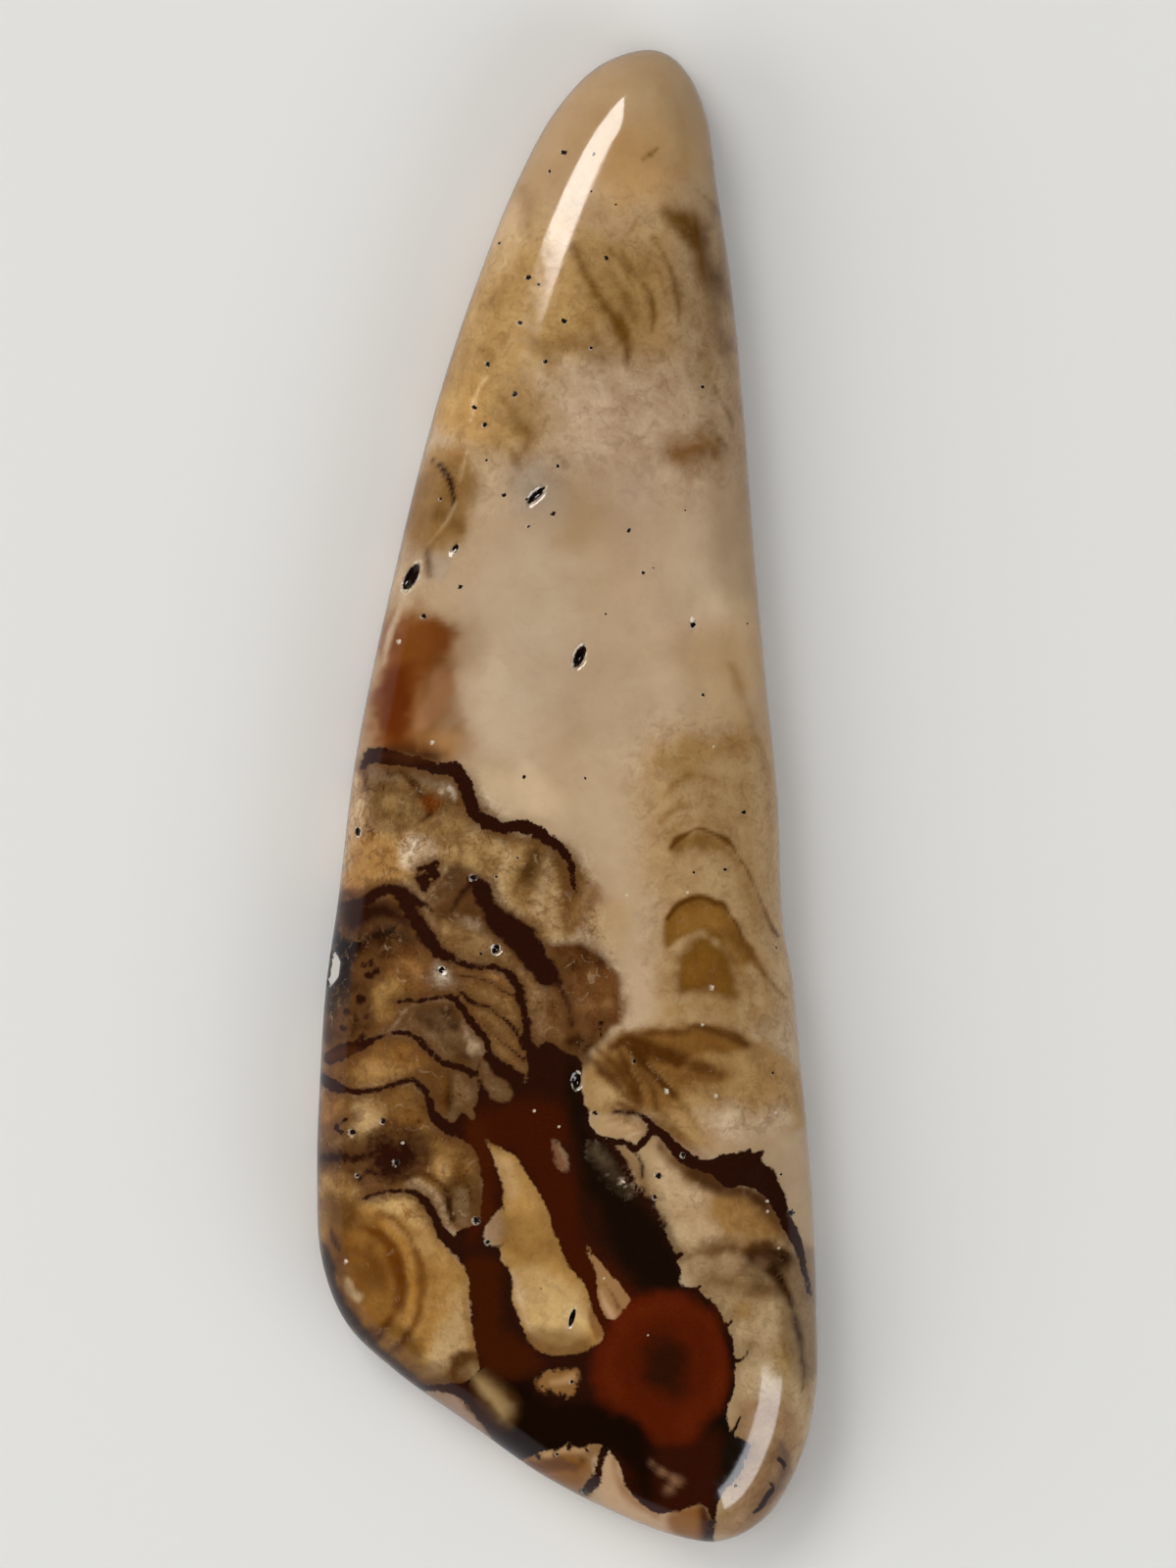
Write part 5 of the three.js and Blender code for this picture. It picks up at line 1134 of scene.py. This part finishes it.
mark(tint, [
    ([(-2.8, -17.2), (-1.2, -17.0), (-0.5, -18.6), (-2.4, -18.9)], (0.74, 0.7, 0.64), 0.4),
    ([(-1.9, -21.8), (0.9, -21.9), (0.9, -22.9), (-1.6, -22.9)], (0.5, 0.44, 0.38), 0.3),
    ([(7.3, -18.6), (8.7, -18.8), (8.6, -20.3), (7.4, -20.1)], (0.5, 0.45, 0.4), 0.35),
    ([(8.8, -18.6), (10.2, -18.6), (10.2, -24), (9.2, -23.6)], (0.58, 0.54, 0.5), 0.3),
    ([(4.9, -18.3), (7, -18.3), (7, -20.4), (5.2, -20.2)], (0.78, 0.74, 0.7), 0.4),
    ([(6.9, -20.8), (8.4, -20.6), (8.6, -23.6), (7.0, -24.6)], (1.12, 1.14, 1.18), 0.5),
])

# Little dark spurs, as mineral ferns make them, along the flow's right bank. The two at the rim near the
# foot are painted dark reflection beside the south-east window's reflection.
for points in (
    [(5.25, -20.05, 0.12), (5.4, -19.95, 0.1)],
    [(5.7, -20.5, 0.14), (5.9, -20.42, 0.08)],
    [(6.5, -21.55, 0.14), (6.68, -21.4, 0.12), (6.72, -21.25, 0.08)],
    [(6.75, -22.95, 0.16), (7.05, -22.95, 0.13), (7.25, -22.75, 0.09), (7.42, -22.45, 0.05)],
    [(6.7, -25.95, 0.14), (6.85, -25.65, 0.13), (7.02, -25.2, 0.1)],
    [(4.4, -18.75, 0.2), (4.62, -18.6, 0.22)],
    # The next two are painted dark reflection at the rim, beside the south-east window's reflection
    [(8.55, -26.95, 0.14), (8.8, -27.2, 0.2), (8.85, -27.5, 0.08)],
    [(8.3, -27.95, 0.1), (8.38, -28.15, 0.2), (8.1, -28.6, 0.26), (7.85, -28.95, 0.25),
     (7.6, -29.25, 0.12)],
    [(7.45, -14.5, 0.14), (7.4, -14.38, 0.1)],
    [(-4.5, 1.2, 0.12), (-4.48, 1.35, 0.08)],
):
    ink(stroke(points), 0.03, 0.4)

# Pits
# Pin-sized pores in the polish. A pore is a dot of near-black painted shade with a bright worn ring. Each
# vertex near one holds the way to its middle in pore radii, so that the dot stays round between the
# vertices. Vertices far from any hold a big value.
PITS = [
    (-0.12, 26.12, 0.11), (-0.7, 25.35, 0.06), (1.1, 26.0, 0.06), (1.0, 24.48, 0.05),
    (2.0, 23.95, 0.04), (-2.75, 22.45, 0.06), (1.6, 21.78, 0.09), (-1.55, 21.0, 0.1),
    (-1.15, 20.72, 0.05), (-1.9, 19.17, 0.09), (-0.1, 19.22, 0.1), (1.0, 18.12, 0.06),
    (-3.2, 17.5, 0.1), (-0.85, 17.58, 0.08), (-2.1, 16.25, 0.1), (-3.75, 15.73, 0.09),
    (5.52, 16.57, 0.07), (-3.33, 15.02, 0.08), (-0.36, 13.32, 0.07), (-2.55, 12.15, 0.08),
    (-5.12, 12.02, 0.06), (-0.56, 11.4, 0.09), (-1.55, 10.88, 0.06), (2.52, 10.72, 0.07),
    (3.1, 9.0, 0.07), (-4.32, 8.44, 0.08), (-5.8, 7.27, 0.09), (7.35, 6.97, 0.04), (5.52, 4.07, 0.07),
    (-1.72, 0.72, 0.07), (7.2, -0.7, 0.08), (-3.77, -3.35, 0.12), (-2.85, -3.33, 0.05),
    (-2.0, -2.55, 0.05), (6.42, -3.02, 0.07), (5.15, -3.15, 0.05), (-3.48, -6.44, 0.06),
    (8.52, -6.22, 0.05), (2.75, -10.8, 0.07), (8.38, -11.3, 0.06), (1.15, -12.9, 0.1),
    (-7.45, -13.22, 0.1), (-8.7, -13.72, 0.12), (-6.9, -14.92, 0.11), (4.72, -14.6, 0.08),
    (3.72, -15.45, 0.12), (3.57, -16.3, 0.08), (-3.65, -17.25, 0.12), (-3.2, -18.13, 0.09),
    (9.12, -17.0, 0.12), (0.2, -23.8, 0.07), (8.7, -15.42, 0.05), (-8.5, -15.45, 0.07),
    (-1.62, 12.0, 0.06), (0.75, 0.68, 0.05), (1.58, 7.33, 0.04), (3.5, 9.2, 0.03), (-3.25, 13.58, 0.05),
    (6.85, -28.05, 0.06), (-0.4, -26.8, 0.05), (-4.15, -24.72, 0.06), (0.7, -28.3, 0.08),
    (-1.05, -20.02, 0.03), (4.8, 11.55, 0.04),
]
# Pores that something white has filled
FILLED = [
    (-6.8, 6.25, 0.07), (-5.45, 2.15, 0.07), (4.05, -12.0, 0.08), (6.05, -12.2, 0.07),
    (5.9, -7.8, 0.08), (5.5, -9.3, 0.06), (-6.65, -14.1, 0.05), (8.15, -16.5, 0.06),
    (8.15, -16.9, 0.05), (-1.3, -12.8, 0.05), (-8.97, -18.95, 0.07), (8.6, -18.4, 0.05),
    (1.5, -19.6, 0.05), (2.3, -15.7, 0.07), (2.45, -4.05, 0.05), (5.95, 1.95, 0.05), (4.9, -3.95, 0.05),
    (8.5, -12.9, 0.05), (-0.3, -13.45, 0.04), (3.3, -21.9, 0.03),
]
PIT_RANGE = 0.3
PIT_GAP = 0.15
NO_PIT = 9.0
pits = np.array(PITS + FILLED)
on_top = z > GIRDLE_HEIGHT
to_pit = np.hypot(x[:, None] - pits[None, :, 0], y[:, None] - pits[None, :, 1])
nearest = to_pit.argmin(1)
ordered = np.partition(to_pit, 1, axis=1)
close = on_top & (ordered[:, 0] < PIT_RANGE) & (ordered[:, 1] - ordered[:, 0] > PIT_GAP)
pit_way = np.tile((0.0, 0.0, NO_PIT), (len(vertices), 1))
pit_way[close, 0] = (x[close] - pits[nearest[close], 0]) / pits[nearest[close], 2]
pit_way[close, 1] = (y[close] - pits[nearest[close], 1]) / pits[nearest[close], 2]
pit_way[close, 2] = 0
filled = (nearest >= len(PITS)).astype(float)

# The mesh
mesh = bpy.data.meshes.new("polished_stone")
mesh.from_pydata(np.column_stack([(vertices[:, :2] - centre) * MM, vertices[:, 2] * MM]).tolist(), [], faces)
mesh.shade_smooth()


def keep_colour(name, values):
    """Store a colour for each vertex."""
    mesh.attributes.new(name, "FLOAT_COLOR", "POINT").data.foreach_set(
        "color", np.column_stack([values, np.ones(len(values))]).astype(np.float32).ravel())


def keep_value(name, values):
    """Store a number for each vertex."""
    mesh.attributes.new(name, "FLOAT", "POINT").data.foreach_set("value", values.astype(np.float32))


keep_colour("ground", ground)
keep_colour("dark", dark)
keep_value("edge", edge)
keep_value("blur", blur)
keep_value("ragged", ragged)
keep_value("unrest", unrest)
keep_value("vug", vug_reach)
keep_value("chip", chip_reach)
keep_value("filled", filled)
mesh.attributes.new("pit_way", "FLOAT_VECTOR", "POINT").data.foreach_set(
    "vector", pit_way.astype(np.float32).ravel())

stone = bpy.data.objects.new("jasper_stone", mesh)
bpy.context.scene.collection.objects.link(stone)

# The polish
# Jasper takes a glassy polish on the dome. Under it the silica is finely grained and mottled, the dark
# bands have ragged edges, pores and vugs hold near-black painted shade inside a worn bright lip, and the
# lapped back stays half matt.
polish = bpy.data.materials.new("polished_jasper")
polish.use_nodes = True
nodes, links = polish.node_tree.nodes, polish.node_tree.links
nodes.clear()


def node(kind, **inputs):
    """A node of the stone's material, its sockets set to values or linked to other nodes' outputs."""
    made = nodes.new(kind)
    for name, value in inputs.items():
        key = int(name[1:]) if name[0] == "i" and name[1:].isdigit() else name.replace("_", " ")
        if isinstance(value, bpy.types.NodeSocket):
            links.new(value, made.inputs[key])
        elif isinstance(key, int) or key in made.inputs:
            made.inputs[key].default_value = value
        else:
            setattr(made, name, value)
    return made


def number(name):
    """A value that the mesh holds for each vertex."""
    made = node("ShaderNodeAttribute")
    made.attribute_name = name
    return made


def maths(operation, first, second=0.0):
    """One operation on two numbers."""
    return node("ShaderNodeMath", operation=operation, i0=first, i1=second).outputs[0]


def ramp(value, low, high, start=0.0, end=1.0):
    """A smooth step of a value from one level to another."""
    return node("ShaderNodeMapRange", interpolation_type="SMOOTHSTEP", i0=value, i1=low, i2=high, i3=start,
                i4=end).outputs[0]


def vector(operation, first, second=(0.0, 0.0, 0.0), third=(0.0, 0.0, 0.0)):
    """One operation on vectors, part by part."""
    return node("ShaderNodeVectorMath", operation=operation, i0=first, i1=second, i2=third)


def mixed(share, first, second):
    """The first colour with a share of the second laid over it."""
    made = node("ShaderNodeMix", data_type="RGBA", blend_type="MIX")
    for key, value in ((0, share), (6, first), (7, second)):
        if isinstance(value, bpy.types.NodeSocket):
            links.new(value, made.inputs[key])
        else:
            made.inputs[key].default_value = value
    return made.outputs[2]


place = node("ShaderNodeTexCoord").outputs["Object"]
in_mm = node("ShaderNodeVectorMath", operation="SCALE", i0=place, Scale=1 / MM).outputs[0]


def grain(per_mm, detail=2.0, rough=0.5, twist=0.0):
    """Cloudy noise with the given number of lumps to the millimetre."""
    return node("ShaderNodeTexNoise", Vector=in_mm, Scale=per_mm, Detail=detail, Roughness=rough,
                Distortion=twist).outputs[0]


def grain_colour(per_mm):
    """The same noise as three numbers at once."""
    return node("ShaderNodeTexNoise", Vector=in_mm, Scale=per_mm, Detail=2.0).outputs["Color"]


# Ragged edges: the signed distance from a band's edge is shaken by two sizes of noise before it is cut
def shake(value, per_mm, amount, detail=3.0):
    """Add noise of the given size and amount to a value."""
    return maths("ADD", value, maths("MULTIPLY", maths("SUBTRACT", grain(per_mm, detail), 0.5), amount))


distance = number("edge").outputs["Fac"]
tremor = shake(shake(0.0, 4.0, 0.28, 4.0), 15.0, 0.12)
shaken = maths("ADD", distance, maths("MULTIPLY", tremor, number("ragged").outputs["Fac"]))
softness = number("blur").outputs["Fac"]
in_band = ramp(shaken, maths("MULTIPLY", softness, -1.0), softness)

# Mottling: clouds, flecks and hair-thin veins of brown, strong beside the bands and faint in clear cream
unrest = number("unrest").outputs["Fac"]
CLOUD_AMOUNT, FLECK_AMOUNT, VEIN_AMOUNT, DRIFT_AMOUNT = 2.2, 1.1, 0.5, 0.45
VEIN_HALF_WIDTH = 0.022
WARM_SHADE = (0.75, 1.0, 1.3)
DEEPEST_SHADE = (0.12, 0.1, 0.08)
clouds = maths("SUBTRACT", grain(1.1, detail=5.0, rough=0.55, twist=0.3), 0.5)
flecks = maths("SUBTRACT", grain(7.0, detail=4.0, rough=0.65), 0.5)
lines = maths("ABSOLUTE", maths("SUBTRACT", grain(0.9, detail=3.0, rough=0.6, twist=1.2), 0.5))
veins = maths("MULTIPLY", ramp(lines, VEIN_HALF_WIDTH, 0.0), ramp(grain(0.8), 0.45, 0.62))
shade = maths("ADD", maths("MULTIPLY", clouds, CLOUD_AMOUNT), maths("MULTIPLY", flecks, FLECK_AMOUNT))
shade = maths("SUBTRACT", shade, maths("MULTIPLY", maths("MULTIPLY", veins, unrest), VEIN_AMOUNT))
shade = maths("MULTIPLY", shade, unrest)
drift = maths("SUBTRACT", grain(0.3, detail=3.0, rough=0.5, twist=0.5), 0.5)
shade = maths("ADD", shade, maths("MULTIPLY", drift, DRIFT_AMOUNT))
lift = node("ShaderNodeCombineXYZ", i0=shade, i1=shade, i2=shade).outputs[0]
lift = vector("MULTIPLY_ADD", lift, WARM_SHADE, (1.0, 1.0, 1.0)).outputs[0]
lift = vector("MAXIMUM", lift, DEEPEST_SHADE).outputs[0]
mottled = vector("MULTIPLY", number("ground").outputs["Color"], lift).outputs[0]

# Blotches of brown and of pale silica with fairly sharp rims
BROWN_BLOT, BROWN_SHARE = (0.13, 0.062, 0.02, 1.0), 0.5
PALE_BLOT, PALE_SHARE = (0.5, 0.36, 0.22, 1.0), 0.25
blots = maths("MULTIPLY", ramp(grain(1.7, detail=6.0, rough=0.62, twist=1.0), 0.52, 0.6), unrest)
mottled = mixed(maths("MULTIPLY", blots, BROWN_SHARE), mottled, BROWN_BLOT)
pale = maths("MULTIPLY", ramp(grain(2.1, detail=5.0, rough=0.6, twist=0.8), 0.6, 0.68), unrest)
mottled = mixed(maths("MULTIPLY", pale, PALE_SHARE), mottled, PALE_BLOT)

# A brown stain that has crept out of the bands
STAIN, STAIN_SHARE = (0.11, 0.045, 0.012, 1.0), 0.85
BAND_FLECKS = 0.7
stain = ramp(shake(shake(distance, 2.2, 0.7, 4.0), 9.0, 0.25), -0.55, 0.05)
stain = maths("MULTIPLY", maths("MULTIPLY", stain, unrest), STAIN_SHARE)
mottled = mixed(stain, mottled, STAIN)
band = node("ShaderNodeVectorMath", operation="SCALE", i0=number("dark").outputs["Color"],
            Scale=maths("ADD", maths("MULTIPLY", flecks, BAND_FLECKS), 1.0)).outputs[0]
colour = mixed(in_band, mottled, band)

# Pores and vugs: near-black painted shade inside, with a pale worn lip along part of their rim; some pores
# are filled white
pit_way = number("pit_way").outputs["Vector"]
PIT_BENDING = (2.2, 2.2, 0.0)
LIP_ASIDE = (0.45, 0.3, 0.0)
jitter = vector("SUBTRACT", grain_colour(9.0), (0.5, 0.5, 0.5)).outputs[0]
bent = vector("MULTIPLY_ADD", jitter, PIT_BENDING, pit_way).outputs[0]
pit_reach = vector("LENGTH", bent).outputs["Value"]
lip_reach = vector("LENGTH", vector("ADD", bent, LIP_ASIDE).outputs[0]).outputs["Value"]
vug = shake(number("vug").outputs["Fac"], 7.0, 0.5, 2.0)
full = number("filled").outputs["Fac"]
beside = ramp(vector("LENGTH", pit_way).outputs["Value"], 2.3, 1.9)
LIP = (0.66, 0.58, 0.46, 1.0)
HOLE_SHADE = (0.010, 0.005, 0.003, 1.0)
FILLING = (0.6, 0.5, 0.36, 1.0)
CHIP_EDGE = (0.03, 0.018, 0.01, 1.0)
CHIP_FACE = (0.55, 0.52, 0.48, 1.0)
ring = maths("MULTIPLY", ramp(lip_reach, 1.75, 1.2), maths("MULTIPLY", beside, 0.55))
lip = maths("MAXIMUM", ring, ramp(vug, 1.35, 1.15))
pore = maths("MULTIPLY", ramp(pit_reach, 1.15, 0.8), beside)
hole = maths("MAXIMUM", maths("MULTIPLY", pore, maths("SUBTRACT", 1.0, full)), ramp(vug, 1.0, 0.85))
colour = mixed(maths("MULTIPLY", lip, ramp(grain(4.0), 0.42, 0.62, 0.0, 0.9)), colour, LIP)
# The shade inside pores and vugs is painted: their colour turns near black
colour = mixed(hole, colour, HOLE_SHADE)
colour = mixed(maths("MULTIPLY", pore, full), colour, FILLING)
chip = shake(number("chip").outputs["Fac"], 3.0, 0.5, 2.0)
colour = mixed(ramp(chip, 1.15, 1.0), colour, CHIP_EDGE)
colour = mixed(ramp(chip, 0.95, 0.85), colour, CHIP_FACE)

# The back is lapped, not polished: half matt with fine scratches. The dome has a faint orange peel.
# The heights of the relief are in mm.
LAPPED_ROUGHNESS, CHIP_ROUGHNESS = 0.34, 0.5
PEEL, FINE_PEEL, SCRATCH_DEPTH, PORE_DEPTH = 0.003, 0.0002, 0.012, 0.08
height = node("ShaderNodeSeparateXYZ", i0=in_mm).outputs[2]
lapped = ramp(height, 0.55, 0.02)
scratched = node("ShaderNodeMapping", Vector=in_mm, Rotation=(0, 0, 0.6), Scale=(1.2, 22.0, 1.0)).outputs[0]
scratches = node("ShaderNodeTexNoise", Vector=scratched, Scale=1.0, Detail=3.0).outputs[0]
gloss = ramp(grain(2.5, 3.0), 0.3, 0.75, start=0.07, end=0.13)
dull = ramp(chip, 1.1, 0.95)
matt = maths("ADD", maths("MULTIPLY", lapped, LAPPED_ROUGHNESS), maths("MULTIPLY", dull, CHIP_ROUGHNESS))
rough = maths("ADD", gloss, matt)
relief = maths("ADD", maths("MULTIPLY", grain(1.5, 2.0), PEEL), maths("MULTIPLY", grain(30.0), FINE_PEEL))
relief = maths("ADD", relief, maths("MULTIPLY", maths("MULTIPLY", scratches, lapped), SCRATCH_DEPTH))
relief = maths("SUBTRACT", relief, maths("MULTIPLY", hole, PORE_DEPTH))
bump = node("ShaderNodeBump", Strength=1.0, Distance=MM, Height=relief).outputs[0]
shader = node("ShaderNodeBsdfPrincipled", Base_Color=colour, Roughness=rough, Normal=bump, IOR=1.54,
              Specular_IOR_Level=0.36)
node("ShaderNodeOutputMaterial", Surface=shader.outputs[0])

mesh.materials.append(polish)
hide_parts(NODE)
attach(stone, "root")

# The table
# A plain sheet of warm white paper that the stone lies on.
FLOOR_HALF = 1.5
CORNERS = ((-1, -1), (1, -1), (1, 1), (-1, 1))
table = bpy.data.meshes.new("paper")
corners = [(FLOOR_HALF * across, FLOOR_HALF * along, 0) for across, along in CORNERS]
table.from_pydata(corners, [], [(0, 1, 2, 3)])
paper = bpy.data.materials.new("plain_paper")
paper.use_nodes = True
paper_shader = paper.node_tree.nodes["Principled BSDF"]
PAPER_WHITE = (0.805, 0.80, 0.775, 1.0)
for socket, value in (("Base Color", PAPER_WHITE), ("Roughness", 0.9), ("Specular IOR Level", 0.0)):
    paper_shader.inputs[socket].default_value = value
table.materials.append(paper)
floor = bpy.data.objects.new("paper_floor", table)
floor.visible_glossy = False
bpy.context.scene.collection.objects.link(floor)

# The light
# Windows stand on opposite sides; the reflections of two lie on the shoulders of the dome. The rest
# of the room is an even dim glow, of which the polish mirrors only what is near the horizon.
GLOW_AWAY = 0.6
SHINE_AWAY = 0.5


def window(name, azimuth, half_width, sill, lintel, glow, shine, colour):
    """An upright rectangular lamp that faces the stone: its direction and half its width in degrees, the
    elevation in degrees of its lower and upper edge, and its radiance as a light on matt surfaces and as
    seen in reflections. Each of the two has its own lamp, one behind the other."""
    turn = np.radians(azimuth)
    for part, strength, away in (("glow", glow, GLOW_AWAY), ("shine", shine, SHINE_AWAY)):
        if strength == 0:
            continue
        low, high = (away * np.tan(np.radians(angle)) for angle in (sill, lintel))
        width, height = 2 * away * np.tan(np.radians(half_width)), high - low
        lamp = bpy.data.lights.new(name + "_" + part, "AREA")
        lamp.shape = "RECTANGLE"
        lamp.size, lamp.size_y = width, height
        lamp.energy = strength * np.pi * width * height
        lamp.color = colour
        holder = bpy.data.objects.new(name + "_" + part, lamp)
        holder.location = (away * np.cos(turn), away * np.sin(turn), (low + high) / 2)
        holder.rotation_euler = (np.pi / 2, 0, turn + np.pi / 2)
        holder.visible_diffuse = part == "glow"
        holder.visible_glossy = part == "shine"
        bpy.context.scene.collection.objects.link(holder)


window("north_west", azimuth=131.5, half_width=21.5, sill=37, lintel=61, glow=4.9, shine=17.5,
       colour=(1.0, 0.97, 0.94))
window("west", azimuth=195, half_width=35, sill=8, lintel=45, glow=1.9, shine=0.0, colour=(1.0, 0.98, 0.95))
window("south_east", azimuth=-40, half_width=31, sill=21, lintel=46, glow=2.2, shine=8.5,
       colour=(0.93, 0.97, 1.0))

world = bpy.data.worlds.new("room")
bpy.context.scene.world = world
world.use_nodes = True
sky, sky_links = world.node_tree.nodes, world.node_tree.links
even = sky["Background"]
SKY_COLOUR = (0.97, 0.98, 1.0, 1.0)
ROOM_GLOW = 0.4
ROOM_SHINE = 0.35
SHINE_TOP = 0.1
even.inputs["Color"].default_value = SKY_COLOUR
even.inputs["Strength"].default_value = ROOM_GLOW
mirrored = sky.new("ShaderNodeBackground")
mirrored.inputs["Color"].default_value = SKY_COLOUR
direction = sky.new("ShaderNodeTexCoord")
parts = sky.new("ShaderNodeSeparateXYZ")
fade = sky.new("ShaderNodeMapRange")
for socket, value in (("From Min", 0.0), ("From Max", SHINE_TOP), ("To Min", ROOM_SHINE), ("To Max", 0.0)):
    fade.inputs[socket].default_value = value
rays = sky.new("ShaderNodeLightPath")
choice = sky.new("ShaderNodeMixShader")
sky_links.new(direction.outputs["Generated"], parts.inputs[0])
sky_links.new(parts.outputs["Z"], fade.inputs["Value"])
sky_links.new(fade.outputs[0], mirrored.inputs["Strength"])
sky_links.new(rays.outputs["Is Glossy Ray"], choice.inputs[0])
sky_links.new(even.outputs[0], choice.inputs[1])
sky_links.new(mirrored.outputs[0], choice.inputs[2])
sky_links.new(choice.outputs[0], sky["World Output"].inputs["Surface"])
bpy.context.scene.view_settings.view_transform = "Standard"

# The camera
# Straight above the stone, far enough that the dome is hardly stretched, framed as in the photograph.
CAMERA_DISTANCE = 0.6
FRAME_HEIGHT = 0.064
SENSOR = 36.0
VIEW_CENTRE = (0.86, 0.44)
camera_data = bpy.data.cameras.new("view")
camera_data.sensor_width = SENSOR
camera_data.lens = SENSOR * CAMERA_DISTANCE / FRAME_HEIGHT
camera = bpy.data.objects.new("view", camera_data)
camera.location = ((VIEW_CENTRE[0] - centre[0]) * MM, (VIEW_CENTRE[1] - centre[1]) * MM,
                   CAMERA_DISTANCE + GIRDLE_HEIGHT * MM)
bpy.context.scene.collection.objects.link(camera)
bpy.context.scene.camera = camera
